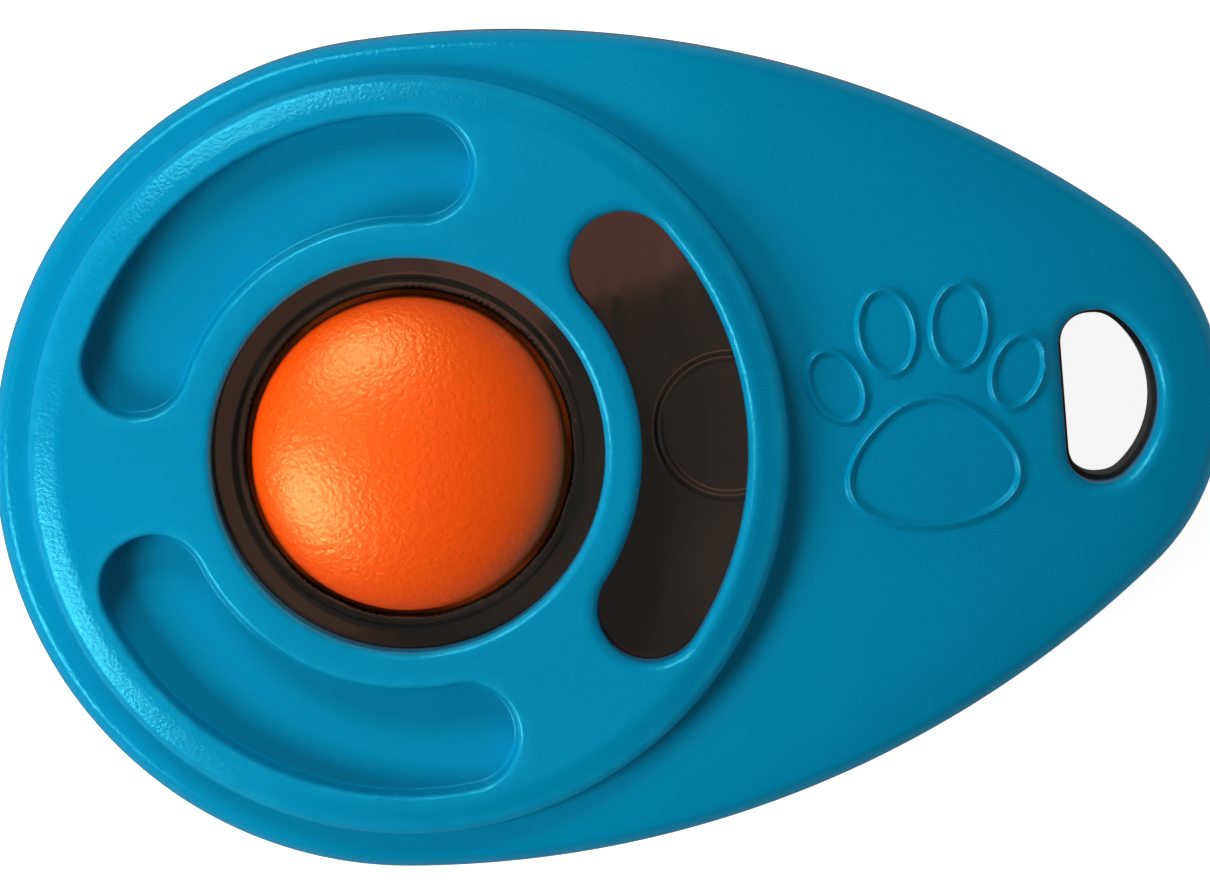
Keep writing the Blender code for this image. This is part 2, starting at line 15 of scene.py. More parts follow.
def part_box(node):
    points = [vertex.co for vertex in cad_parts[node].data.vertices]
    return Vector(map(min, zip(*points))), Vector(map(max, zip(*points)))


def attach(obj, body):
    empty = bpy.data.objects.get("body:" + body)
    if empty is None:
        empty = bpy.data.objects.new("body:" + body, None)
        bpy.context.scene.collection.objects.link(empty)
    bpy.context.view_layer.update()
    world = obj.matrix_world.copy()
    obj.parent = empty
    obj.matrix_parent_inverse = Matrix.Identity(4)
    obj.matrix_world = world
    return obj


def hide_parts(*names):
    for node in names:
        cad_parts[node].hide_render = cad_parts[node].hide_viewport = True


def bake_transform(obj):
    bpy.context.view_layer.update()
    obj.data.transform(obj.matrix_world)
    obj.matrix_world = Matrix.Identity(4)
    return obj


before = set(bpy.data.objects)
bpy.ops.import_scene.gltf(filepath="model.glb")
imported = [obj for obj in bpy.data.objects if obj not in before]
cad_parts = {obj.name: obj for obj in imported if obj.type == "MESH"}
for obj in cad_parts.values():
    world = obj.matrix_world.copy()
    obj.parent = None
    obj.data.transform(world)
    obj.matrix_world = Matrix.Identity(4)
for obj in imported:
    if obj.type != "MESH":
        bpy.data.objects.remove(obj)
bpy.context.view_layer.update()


def node_box(node):
    """Lowest and highest corner of a CAD node, in millimetres."""
    return tuple(np.array(corner) * 1000.0 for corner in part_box(node))


FRONT_LOW, FRONT_HIGH = node_box("front_shell")
BACK_LOW, BACK_HIGH = node_box("back_shell")
BUTTON_LOW, BUTTON_HIGH = node_box("button")
DECK_LOW, DECK_HIGH = node_box("click_deck")
STRIP_LOW, STRIP_HIGH = node_box("click_strip")
CLAMP_LOW, CLAMP_HIGH = node_box("strip_clamp")

# Case outline: a head circle and a tail circle, joined by flank arcs tangent to both.
HEAD_RADIUS = -FRONT_LOW[0]
TAIL_RADIUS = 11.48
TAIL_X = FRONT_HIGH[0] - TAIL_RADIUS
FLANK_RADIUS = 56.71
FLANK_X = (
    (FLANK_RADIUS - HEAD_RADIUS) ** 2 - (FLANK_RADIUS - TAIL_RADIUS) ** 2 + TAIL_X**2
) / (2 * TAIL_X)
FLANK_Y = math.sqrt((FLANK_RADIUS - HEAD_RADIUS) ** 2 - FLANK_X**2)
HEAD_ANGLE = math.degrees(math.atan2(FLANK_Y, -FLANK_X))
TAIL_ANGLE = math.degrees(math.atan2(FLANK_Y, TAIL_X - FLANK_X))

# Upper surface of the case. The slope's drop is its rate times the square of the run.
SEAM_TOP = FRONT_LOW[2]
SEAM_SOFT = 0.15
TURRET_TOP = FRONT_HIGH[2]
TURRET_RISE = 1.4
BODY_TOP = TURRET_TOP - TURRET_RISE
SLOPE_START = 5.0
SLOPE_RATE = 0.00327
EDGE_IN = 0.75
EDGE_DROP = 1.1
CROWN_IN = 4.0
CROWN_DROP = 0.45
SHELL_WALL = 1.6

# Turret: its shoulder, its wall, the shallow groove round its foot, and its openings.
TURRET_RADIUS = 19.9
TURRET_FLAT = 17.8
TURRET_EASE = 0.6
TURRET_BEVEL = 0.32
TURRET_ROUND = 0.45
TURRET_WALL_IN = 0.25
TURRET_WALL_DROP = 3.0
FOOT_BLEND = 0.2
GROOVE_WIDTH = 1.6
GROOVE_DROP = 0.15
TURRET_HOLLOW = 18.5
TURRET_ROOF = 1.5
OPENING_RADIUS = 10.18
OPENING_WALL = 1.2
OPENING_UNDER = 10.6
SLOT_MIDDLE = 14.84
SLOT_HALF = 2.75
SLOT_SPAN = 37.0
SLOT_WALL = 1.1
WINDOW = 0.0
POCKETS = (120.0, 240.0)
SLOTS = (WINDOW, *POCKETS)
POCKET_DEPTH = 2.3
POCKET_FLOOR = TURRET_TOP - POCKET_DEPTH
POCKET_ROOF = 1.0
POCKET_DRAFT = 0.12
POCKET_FILLET = 0.15
WINDOW_UNDER = 10.66
POCKET_LIP = 0.3
WINDOW_LIP = 0.6
OPENING_LIP = 0.5

# Lanyard eye: a D-shaped hole, bowed towards the tip.
EYE_LEFT = 34.3
EYE_BOW_X = 33.8
EYE_BOW = 3.55
EYE_CORNER = 1.5
EYE_HALF = 4.25
EYE_DRAFT = 0.25
EYE_LIP = 0.8
EYE_WALL = 1.2
EYE_TOP_BACK = 5.5
EYE_UNDER_FRONT = 5.8

# Raised paw outline: the pad and the toes as ovals (x, y, half width, half height, tilt, taper, count).
MARK_X = 27.1
MARK_RISE = 0.26
MARK_LINE = 0.5
MARK_OVALS = (
    (0.0, -2.6, 4.3, 3.3, 0.0, 0.28, 112),
    (-1.9, 4.3, 1.45, 2.2, 6.0, 0.0, 64),
    (1.9, 4.3, 1.45, 2.2, -6.0, 0.0, 64),
    (-4.75, 1.7, 1.3, 1.95, 24.0, 0.0, 64),
    (4.75, 1.7, 1.3, 1.95, -24.0, 0.0, 64),
)

# Back shell.
SEAM_BACK = 4.6
BACK_EDGE = 1.6
BACK_FLOOR = 1.5
RIM_IN = 1.9
RIM_OUT = 2.9
RIM_TOP = 5.5
BORE_SEAT = 2.25
BORE_WIDE = 2.3
BORE_NARROW = 1.25
TUBE_RADIUS = 3.3
TUBE_TOP = 4.7
DECK_POST_RADIUS = 1.8
STAY_RADIUS = 15.5
STAY_ANGLES = (60.0, 180.0, 300.0)
PEDESTAL = (16.0, 22.0)
PEDESTAL_HALF = 5.2
METAL_GAP = 0.15

# The posts under the front shell that take the case screws.
POST_RADIUS = 2.6
POST_SOFT = 0.15
POST_GAP = 0.1
PILOT_RADIUS = 1.15
PILOT_TOP = 7.7

# Spacing of points, the areas that grids cover, and the two sides of a step in height.
SPACING = 0.36
CASE_AREA = ((-22.0, -22.0), (43.0, 22.0))
TURRET_AREA = ((-19.0, -19.0), (19.0, 19.0))
BOTH_SIDES = (-0.02, 0.02)


# ---- outlines


def polar(radius, degrees):
    """Point or points at a radius and an angle."""
    angle = np.radians(degrees)
    return radius * np.cos(angle), radius * np.sin(angle)


def arc_loop(arcs, grow=0.0, spacing=SPACING):
    """Closed loop along arcs (cx, cy, radius, start, end), pushed outwards by grow.

    An arc whose end is below its start is concave. The count doesn't depend on grow.
    """
    points = []
    for cx, cy, radius, start, end in arcs:
        reach = radius + grow if end > start else radius - grow
        count = max(6, math.ceil(math.radians(abs(end - start)) * radius / spacing))
        x, y = polar(reach, np.linspace(start, end, count + 1))
        arc = np.column_stack((cx + x, cy + y))
        if points and np.hypot(*(arc[0] - points[-1][-1])) < 1e-6:
            arc = arc[1:]
        points.append(arc)
    loop = np.vstack(points)
    if np.hypot(*(loop[0] - loop[-1])) < 1e-6:
        loop = loop[:-1]
    return loop


SIDE_SCREWS = tuple(polar(SLOT_MIDDLE, angle) for angle in POCKETS)
SCREWS = ((27.0, 0.0), *SIDE_SCREWS)
STAYS = tuple(polar(STAY_RADIUS, angle) for angle in STAY_ANGLES)

CASE_ARCS = (
    (TAIL_X, 0.0, TAIL_RADIUS, -TAIL_ANGLE, TAIL_ANGLE),
    (FLANK_X, -FLANK_Y, FLANK_RADIUS, TAIL_ANGLE, HEAD_ANGLE),
    (0.0, 0.0, HEAD_RADIUS, HEAD_ANGLE, 360.0 - HEAD_ANGLE),
    (FLANK_X, FLANK_Y, FLANK_RADIUS, 360.0 - HEAD_ANGLE, 360.0 - TAIL_ANGLE),
)


def circle(radius, at=(0.0, 0.0), spacing=SPACING, grow=0.0):
    """A round loop, whose count depends on radius and not on grow."""
    return arc_loop(((*at, radius, 0.0, 360.0),), grow, spacing)


def slot_loop(middle, grow, spacing=0.3):
    """A curved slot with round ends, centred on the direction middle and pushed outwards by grow."""
    first, last = middle - SLOT_SPAN, middle + SLOT_SPAN
    arcs = (
        (0.0, 0.0, SLOT_MIDDLE + SLOT_HALF, first, last),
        (*polar(SLOT_MIDDLE, last), SLOT_HALF, last, last + 180.0),
        (0.0, 0.0, SLOT_MIDDLE - SLOT_HALF, last, first),
        (*polar(SLOT_MIDDLE, first), SLOT_HALF, first + 180.0, first + 360.0),
    )
    return arc_loop(arcs, grow, spacing)


def fill_gaps(loop, spacing):
    """The loop with points added along its straight stretches."""
    points = []
    for a, b in zip(loop, np.roll(loop, -1, axis=0)):
        count = max(1, math.ceil(np.hypot(*(b - a)) / (1.6 * spacing)))
        points += [a + (b - a) * i / count for i in range(count)]
    return np.array(points)


def eye_loop(grow, spacing=0.2):
    """The lanyard eye's bow, round corners and straight stretches, pushed outwards by grow."""
    half = EYE_HALF - EYE_CORNER
    bow = math.degrees(math.asin(half / EYE_BOW))
    right_x = EYE_BOW_X + math.sqrt(EYE_BOW**2 - half**2)
    left_x = EYE_LEFT + EYE_CORNER
    arcs = (
        (EYE_BOW_X, 0.0, EYE_BOW + EYE_CORNER, -bow, bow),
        (right_x, half, EYE_CORNER, bow, 90.0),
        (left_x, half, EYE_CORNER, 90.0, 180.0),
        (left_x, -half, EYE_CORNER, 180.0, 270.0),
        (right_x, -half, EYE_CORNER, 270.0, 360.0 - bow),
    )
    straight = fill_gaps(arc_loop(arcs, 0.0, spacing), spacing)
    outward = np.roll(straight, -1, axis=0) - np.roll(straight, 1, axis=0)
    outward = np.column_stack((outward[:, 1], -outward[:, 0]))
    return straight + grow * outward / np.linalg.norm(outward, axis=1)[:, None]


def mark_loop(cx, cy, half_x, half_y, tilt, taper, count, grow):
    """An oval of the paw, tilted, and narrower on its upper side by its taper."""
    x, y = polar(1.0, np.linspace(0.0, 360.0, count, endpoint=False))
    x, y = x * (half_x + grow) * (1.0 - taper * y), y * (half_y + grow)
    lean = math.radians(tilt)
    return np.column_stack((
        MARK_X + cx + x * math.cos(lean) - y * math.sin(lean),
        cy + x * math.sin(lean) + y * math.cos(lean),
    ))


def mark_loops(grow=0.0):
    """The paw's five outlines."""
    return [mark_loop(*oval, grow) for oval in MARK_OVALS]


# ---- distances


def outline_depth(x, y):
    """How far inside the case outline points lie."""
    y = np.abs(y)
    tail = np.degrees(np.arctan2(y, x - TAIL_X)) <= TAIL_ANGLE
    head = np.degrees(np.arctan2(y, x)) >= HEAD_ANGLE
    flank = FLANK_RADIUS - np.hypot(x - FLANK_X, y + FLANK_Y)
    flank = np.where(head, HEAD_RADIUS - np.hypot(x, y), flank)
    return np.where(tail, TAIL_RADIUS - np.hypot(x - TAIL_X, y), flank)


def slot_distance(x, y, middle):
    """Distance outside a slot's edge, negative inside it."""
    turn = np.radians((np.degrees(np.arctan2(y, x)) - middle + 180.0) % 360.0 - 180.0)
    span = math.radians(SLOT_SPAN)
    radius = np.hypot(x, y)
    beyond = np.clip(np.abs(turn) - span, 0.0, None)
    off_end = np.sqrt(np.clip(
        radius**2 + SLOT_MIDDLE**2 - 2.0 * radius * SLOT_MIDDLE * np.cos(beyond), 0.0, None))
    return np.where(beyond > 0.0, off_end, np.abs(radius - SLOT_MIDDLE)) - SLOT_HALF


def loop_distance(x, y, loop):
    """Distance outside a closed polyline, negative inside it."""
    point = np.stack((x, y), axis=-1)[..., None, :]
    along = np.roll(loop, -1, axis=0) - loop
    part = np.clip(((point - loop) * along).sum(-1) / (along**2).sum(-1), 0.0, 1.0)
    near = np.linalg.norm(point - loop - part[..., None] * along, axis=-1).min(-1)
    inside = np.zeros(x.shape, bool)
    for (ax, ay), (bx, by) in zip(loop, np.roll(loop, -1, axis=0)):
        if ay != by:
            inside ^= ((ay > y) != (by > y)) & (x < ax + (y - ay) * (bx - ax) / (by - ay))
    return np.where(inside, -near, near)


def near_distance(x, y, loop, reach):
    """loop_distance for the points within reach of the loop's box, and reach for the others."""
    low, high = loop.min(0) - reach, loop.max(0) + reach
    close = (x > low[0]) & (x < high[0]) & (y > low[1]) & (y < high[1])
    found = np.full(x.shape, float(reach))
    if close.any():
        found[close] = loop_distance(x[close], y[close], loop)
    return found


def eye_distance(x, y, grow):
    """Distance outside the lanyard eye's edge, for the points near it."""
    return near_distance(x, y, eye_loop(grow), 2.0)


def nearest(x, y, places):
    """Distance from each point to the nearest of some places."""
    return np.min([np.hypot(x - cx, y - cy) for cx, cy in places], axis=0)


# ---- heights


def top_height(x):
    """The body's top, before its edge is rounded: level, then sloping down to the eye."""
    run = np.clip(x - SLOPE_START, 0.0, None)
    return BODY_TOP - SLOPE_RATE * run * run


def quarter(share):
    """Drop of a quarter round, from 1 at its vertical edge (share 0) to 0 at share 1."""
    share = np.clip(share, 0.0, 1.0)
    return 1.0 - np.sqrt(1.0 - (1.0 - share) ** 2)


def ease(share):
    """Smooth step from 0 at share 0 to 1 at share 1."""
    share = np.clip(share, 0.0, 1.0)
    return share * share * (3.0 - 2.0 * share)


def smooth_max(a, b, width):
    """The higher of two heights, blended where they differ by less than width."""
    near = np.clip(width - np.abs(a - b), 0.0, None) / width
    return np.maximum(a, b) + near * near * width / 4.0


def turret_height(radius):
    """The turret's own profile: flat, a shallow bevel, a round edge, then a steep wall."""
    wall_start = TURRET_RADIUS - TURRET_WALL_IN
    round_start = wall_start - TURRET_ROUND
    run = np.clip(radius - TURRET_FLAT, 0.0, None)
    eased = np.where(run < TURRET_EASE, run * run / (2.0 * TURRET_EASE), run - 0.5 * TURRET_EASE)
    share = np.clip((radius - round_start) / TURRET_ROUND, 0.0, 1.0)
    shoulder = TURRET_BEVEL * eased + TURRET_ROUND * (1.0 - np.sqrt(1.0 - share * share))
    steep = np.clip(radius - wall_start, 0.0, None) / TURRET_WALL_IN
    return TURRET_TOP - shoulder - TURRET_WALL_DROP * steep


def mark_height(x, y):
    """Raised round-topped lines along the paw's outlines."""
    rise = np.zeros(x.shape)
    for loop in mark_loops():
        off = np.abs(near_distance(x, y, loop, 1.0)) / (0.5 * MARK_LINE)
        line = 0.5 + 0.5 * np.cos(np.pi * np.clip(off, 0.0, 1.0))
        rise = np.maximum(rise, MARK_RISE * line**0.7)
    return rise


def front_top(x, y):
    """Height of the front shell's outer surface."""
    radius = np.hypot(x, y)
    depth = outline_depth(x, y)
    body = top_height(x) - EDGE_DROP * quarter(depth / EDGE_IN)
    body -= CROWN_DROP * np.clip(1.0 - depth / CROWN_IN, 0.0, 1.0) ** 2
    body -= GROOVE_DROP * np.clip(1.0 - (radius - TURRET_RADIUS) / GROOVE_WIDTH, 0.0, 1.0) ** 2
    height = smooth_max(body, turret_height(radius), FOOT_BLEND) + mark_height(x, y)
    height -= OPENING_LIP * quarter((radius - OPENING_RADIUS) / OPENING_LIP)
    height -= EYE_LIP * quarter(eye_distance(x, y, EYE_DRAFT) / EYE_LIP)
    height -= WINDOW_LIP * quarter(slot_distance(x, y, WINDOW) / WINDOW_LIP)
    for middle in POCKETS:
        off = slot_distance(x, y, middle)
        floor = POCKET_FLOOR + POCKET_FILLET * quarter((-off - POCKET_DRAFT) / POCKET_FILLET)
        wall_top = TURRET_TOP - POCKET_LIP
        share = np.clip(-off / POCKET_DRAFT, 0.0, 1.0)
        inside = np.where(-off < POCKET_DRAFT, wall_top + (floor - wall_top) * share, floor)
        height = np.where(off < 0.0, inside, height - POCKET_LIP * quarter(off / POCKET_LIP))
    return height


def front_under(x, y):
    """Height of the front shell's inner surface, stepped at its walls and skirts."""
    radius = np.hypot(x, y)
    height = np.where(radius < TURRET_HOLLOW, TURRET_TOP - TURRET_ROOF, top_height(x) - SHELL_WALL)
    for middle in POCKETS:
        height = np.where(slot_distance(x, y, middle) < SLOT_WALL, POCKET_FLOOR - POCKET_ROOF, height)
    height = np.where(slot_distance(x, y, WINDOW) < SLOT_WALL, WINDOW_UNDER, height)
    height = np.where(radius < OPENING_RADIUS + OPENING_WALL, OPENING_UNDER, height)
    height = np.where(eye_distance(x, y, EYE_DRAFT) < EYE_WALL, EYE_UNDER_FRONT, height)
    return np.where(outline_depth(x, y) < SHELL_WALL, SEAM_TOP, height)


# ---- meshes


def add_object(name, data):
    """A new object in the scene, for a mesh, a light or a camera."""
    made = bpy.data.objects.new(name, data)
    bpy.context.scene.collection.objects.link(made)
    return made


class Shape:
    """Vertices in millimetres, faces and edge wear of one mesh under construction."""

    def __init__(self):
        self.points = []
        self.faces = []
        self.wear = []

    def ring(self, loop, height, wear=0.0):
        """Add a loop of points at a height, a number or one per point, and return their indices."""
        start = len(self.points)
        heights = np.broadcast_to(height, (len(loop),))
        self.points += [(x, y, z) for (x, y), z in zip(loop, heights)]
        self.wear += list(np.broadcast_to(wear, (len(loop),)))
        return list(range(start, start + len(loop)))

    def bridge(self, *rings):
        """Quads between successive rings of equal count, or triangles where a ring is one point."""
        for low, high in zip(rings, rings[1:]):
            for i, j in zip(range(len(low)), [*range(1, len(low)), 0]):
                self.faces.append(tuple(dict.fromkeys((low[i], low[j], high[j], high[i]))))

    def skirt(self, loops, height, wear):
        """Bridged rings along aligned loops, with each point's height and wear. Returns the rings."""
        rings = [self.ring(loop, height(*loop.T), wear(*loop.T)) for loop in loops]
        self.bridge(*rings)
        return rings

    def fill(self, rings, extra, height, up=True, wear=None, within=None):
        """Triangles between rings (the outline, then any holes) through extra points.

        A face whose corners are all on one hole's ring is left out. A concave outline needs within,
        which tells for a point whether it lies inside.
        """
        extra = np.asarray(extra, float).reshape(-1, 2)
        heights = height(extra[:, 0], extra[:, 1]) if len(extra) else []
        worn = wear(extra[:, 0], extra[:, 1]) if wear is not None and len(extra) else 0.0
        ids = [index for ring in rings for index in ring] + self.ring(extra, heights, worn)
        owner = {index: n for n, ring in enumerate(rings) for index in ring}
        edges, start = [], 0
        for ring in rings:
            end = start + len(ring)
            edges += zip(range(start, end), [*range(start + 1, end), start])
            start = end
        flat = [Vector(self.points[index][:2]) for index in ids]
        found = delaunay_2d_cdt(flat, edges, [], 0, 1e-6)
        source = [ids[min(origin)] if origin else None for origin in found[3]]
        for face in found[2]:
            corners = [source[corner] for corner in face]
            holes = {owner.get(corner, 0) for corner in corners}
            if None in corners or (len(holes) == 1 and holes != {0}):
                continue
            if within is not None:
                middle = np.mean([self.points[corner][:2] for corner in corners], axis=0)
                if not within(*middle):
                    continue
            self.faces.append(corners if up else corners[::-1])

    def build(self, name, look, body, node, sharp=40.0):
        """Write the mesh in metres and dress it. It stands for a CAD node and rides on a body, if any."""
        mesh = bpy.data.meshes.new(name)
        mesh.from_pydata([tuple(0.001 * c for c in p) for p in self.points], [], self.faces)
        mesh.validate()
        tidy = bmesh.new()
        tidy.from_mesh(mesh)
        bmesh.ops.recalc_face_normals(tidy, faces=tidy.faces)
        tidy.to_mesh(mesh)
        tidy.free()
        edge_wear = mesh.attributes.new("edge_wear", "FLOAT", "POINT")
        edge_wear.data.foreach_set("value", np.array(self.wear, np.float32))
        mesh.shade_smooth()
        mesh.set_sharp_from_angle(angle=math.radians(sharp))
        mesh.materials.append(look)
        piece = add_object(name, mesh)
        if body:
            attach(piece, body)
        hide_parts(node)
        return piece

    def turn(self, profile, steps, at=(0.0, 0.0), wear=0.0, closed=False):
        """Surface of revolution through a profile of (radius, height). Returns its rings."""
        angles = np.linspace(0.0, 360.0, steps, endpoint=False)
        rows = []
        for radius, height in profile:
            if radius < 1e-6:
                rows.append(self.ring(np.array([at]), height, wear) * steps)
            else:
                rows.append(self.ring(np.column_stack(polar(radius, angles)) + at, height, wear))
        for low, high in zip(rows, rows[1:] + rows[:1] if closed else rows[1:]):
            self.bridge(high, low)
        return rows


def round_steps(radius, turn):
    """Distances in from a round edge's start, at equal turns of its quarter circle."""
    return [radius * (1.0 - math.cos(math.radians(a))) for a in range(0, 91, turn)]


def lip_steps(lip):
    """Distances from an edge that follow its round lip, from just off the edge to past the lip."""
    return round_steps(lip, 15)[1:] + [1.4 * lip, 2.0 * lip]


def hex_grid(low, high, spacing):
    """Points of a triangular grid over a rectangle."""
    rows = np.arange(low[1], high[1], spacing * math.sqrt(0.75))
    columns = np.arange(low[0], high[0], spacing)
    x, y = np.meshgrid(columns, rows)
    x[1::2] += 0.5 * spacing
    return np.column_stack((x.ravel(), y.ravel()))


def turret_radii():
    """Radii of the rings down the turret's shoulder, wall and foot, from the inside out."""
    wall = TURRET_RADIUS - TURRET_WALL_IN
    shoulder = [wall - TURRET_ROUND - step for step in (0.6, 0.4, 0.2)]
    curve = [wall - TURRET_ROUND * (1.0 - math.sin(math.radians(a))) for a in range(0, 91, 9)]
    foot = [wall + step for step in (0.2, 0.4, 0.6)]
    return [*shoulder, *curve, *np.arange(wall + 0.02, wall + 0.14, 0.012), *foot]


def lip_loops(loop_at, lip):
    """Loops down a round lip, from its outside to the edge of the opening."""
    return [loop_at(step) for step in reversed(round_steps(lip, 15))]


def pocket_loops(middle):
    """Loops from a pocket's lip down its wall and round its foot to its floor."""
    steps = [-POCKET_DRAFT * share for share in (0.25, 0.5, 0.75)]
    steps += [-POCKET_DRAFT - step for step in round_steps(POCKET_FILLET, 15)]
    lip = lip_loops(lambda step: slot_loop(middle, step), POCKET_LIP)
    return lip + [slot_loop(middle, step) for step in steps]


def slot_gap(points):
    """Distance outside the nearest slot, one number per point."""
    return np.min([slot_distance(*points.T, middle) for middle in SLOTS], axis=0)


def front_points():
    """Points that carry the front shell's surface outside the turret and on it."""
    turret_start, turret_end = 17.5, 22.5
    loops = [arc_loop(CASE_ARCS, -EDGE_IN - step) for step in (0.2, 0.45, 0.8, 1.2, 1.6)]
    loops += [circle(radius) for radius in np.arange(TURRET_RADIUS + 0.6, turret_end - 0.1, 0.25)]
    shoulder = np.vstack([circle(radius) for radius in (18.4, 18.2, 18.0, 17.8, 17.6)])
    loops.append(shoulder[slot_gap(shoulder) > 0.7])
    loops += [loop for off in np.linspace(-0.36, 0.36, 9) for loop in mark_loops(off)]
    loops += [eye_loop(EYE_DRAFT + EYE_LIP * share) for share in (1.2, 1.45)]
    grid = hex_grid(*CASE_AREA, 0.5)
    radius = np.hypot(*grid.T)
    mark_gap = np.min([np.abs(near_distance(*grid.T, loop, 1.0)) for loop in mark_loops()], axis=0)
    clear = (outline_depth(*grid.T) > EDGE_IN + 1.8) & ((radius < turret_start) | (radius > turret_end))
    clear &= (slot_gap(grid) > 0.8) & (radius > OPENING_RADIUS + 0.7) & (mark_gap > 0.5)
    clear &= eye_distance(*grid.T, EYE_DRAFT) > 1.6 * EYE_LIP
    points = np.vstack(loops + [grid[clear]])
    radius = np.hypot(*points.T)
    outside = (radius > turret_radii()[-1] + 0.12) & (outline_depth(*points.T) > EDGE_IN + 0.12)
    outside &= eye_distance(*points.T, EYE_DRAFT) > 1.1 * EYE_LIP
    return points[outside], points[radius < turret_radii()[0] - 0.1]


def rubbed(off, middle, reach):
    """Wear that is full at a distance off an edge, and fades out over reach."""
    return np.clip(1.0 - np.abs(off - middle) / reach, 0.0, 1.0)


def front_wear(x, y):
    """Where hands rub: the lips of the openings and the turret's shoulder."""
    radius = np.hypot(x, y)
    wear = 0.8 * rubbed(radius, 19.3, 0.5)
    for middle in SLOTS:
        wear = np.maximum(wear, rubbed(slot_distance(x, y, middle), 0.15, 0.3))
    wear = np.maximum(wear, rubbed(eye_distance(x, y, EYE_DRAFT), 0.3, 0.5))
    return np.maximum(wear, rubbed(radius - OPENING_RADIUS, 0.15, 0.3))


def front_under_points():
    """Points on both sides of each step in the front shell's underside, and a coarse grid."""
    loops = [arc_loop(CASE_ARCS, -SEAM_SOFT - step, 1.0)
             for step in (0.03, *[SHELL_WALL + side for side in BOTH_SIDES])]
    loops += [circle(TURRET_HOLLOW + side, spacing=1.0) for side in BOTH_SIDES]
    for step in (0.05, *[OPENING_WALL + side for side in BOTH_SIDES]):
        loops += [circle(OPENING_RADIUS + step, spacing=1.0), eye_loop(EYE_DRAFT + step)]
    for step in (0.05, *[SLOT_WALL + side for side in BOTH_SIDES]):
        loops += [slot_loop(middle, step, 1.0) for middle in SLOTS]
    points = np.vstack(loops + [hex_grid(*CASE_AREA, 1.6)])
    keep = (outline_depth(*points.T) > SEAM_SOFT + 0.02) & (np.hypot(*points.T) > OPENING_RADIUS + 0.04)
    keep &= (slot_distance(*points.T, WINDOW) > 0.04) & (eye_distance(*points.T, EYE_DRAFT) > 0.04)
    return points[keep]


def add_screw_posts(shape):
    """The front shell's three posts, each with a pilot hole from below."""
    under = SEAM_TOP + POST_GAP
    side_top = POCKET_FLOOR - 0.5 * POCKET_ROOF
    for at, top in zip(SCREWS, (top_height(SCREWS[0][0]) - 0.5 * SHELL_WALL, side_top, side_top)):
        outside = [(0.0, top), (POST_RADIUS, top), (POST_RADIUS, under + POST_SOFT)]
        bore = [(PILOT_RADIUS, under), (PILOT_RADIUS, PILOT_TOP), (0.0, PILOT_TOP)]
        shape.turn([*outside, (POST_RADIUS - POST_SOFT, under), *bore], 48, at)


def make_front_shell(look):
    """The blue front: its edge, the turret, the openings, the top between them, and the underside."""
    shape = Shape()
    seam = shape.ring(arc_loop(CASE_ARCS), SEAM_TOP + SEAM_SOFT)
    lower = shape.ring(arc_loop(CASE_ARCS, -SEAM_SOFT), SEAM_TOP)
    edges = [arc_loop(CASE_ARCS, -step) for step in round_steps(EDGE_IN, 9)]
    edges = shape.skirt(edges, front_top, front_wear)
    shape.bridge(lower, seam, edges[0])
    turret = [circle(TURRET_RADIUS, grow=radius - TURRET_RADIUS) for radius in turret_radii()]
    turret = shape.skirt(turret, front_top, front_wear)
    tops, bottoms = [], [lower]
    holes = (
        (lambda step: circle(OPENING_RADIUS, grow=step), OPENING_LIP, OPENING_UNDER),
        (lambda step: slot_loop(WINDOW, step), WINDOW_LIP, WINDOW_UNDER),
        (lambda step: eye_loop(EYE_DRAFT + step), EYE_LIP, EYE_UNDER_FRONT),
    )
    for loop_at, lip, under in holes:
        top = shape.skirt(lip_loops(loop_at, lip), front_top, front_wear)
        bottom = shape.ring(loop_at(0.0), under)
        shape.bridge(top[-1], bottom)
        tops.append(top[0])
        bottoms.append(bottom)
    opening, window, eye = tops
    outside, inside = front_points()
    shape.fill([edges[-1], turret[-1], eye], outside, front_top, wear=front_wear)
    pockets = [shape.skirt(pocket_loops(middle), front_top, front_wear) for middle in POCKETS]
    inner = [turret[0], opening, window, *[rings[0] for rings in pockets]]
    shape.fill(inner, inside, front_top, wear=front_wear)
    floor = hex_grid(*TURRET_AREA, 0.6)
    floor_in = -POCKET_DRAFT - POCKET_FILLET
    for middle, rings in zip(POCKETS, pockets):
        deep = slot_distance(*floor.T, middle) < floor_in - 0.25
        shape.fill([rings[-1]], floor[deep], front_top,
                   within=lambda x, y: slot_distance(x, y, middle) < floor_in)
    shape.fill(bottoms, front_under_points(), front_under, up=False)
    add_screw_posts(shape)
    return shape.build("front_shell_moulding", look, "case", "front_shell")


# ---- back shell


BORE_LIP = 0.25
BORE_PROFILE = ((BORE_WIDE, BORE_LIP), (BORE_WIDE, BORE_SEAT), (BORE_NARROW, BORE_SEAT),
                (BORE_NARROW, TUBE_TOP))
EYE_LIP_BACK = 0.5


def rim_height(x):
    """The rim that sits inside the front shell's wall, lower where the front slopes down."""
    return np.minimum(RIM_TOP, top_height(x) - SHELL_WALL - 1.5)


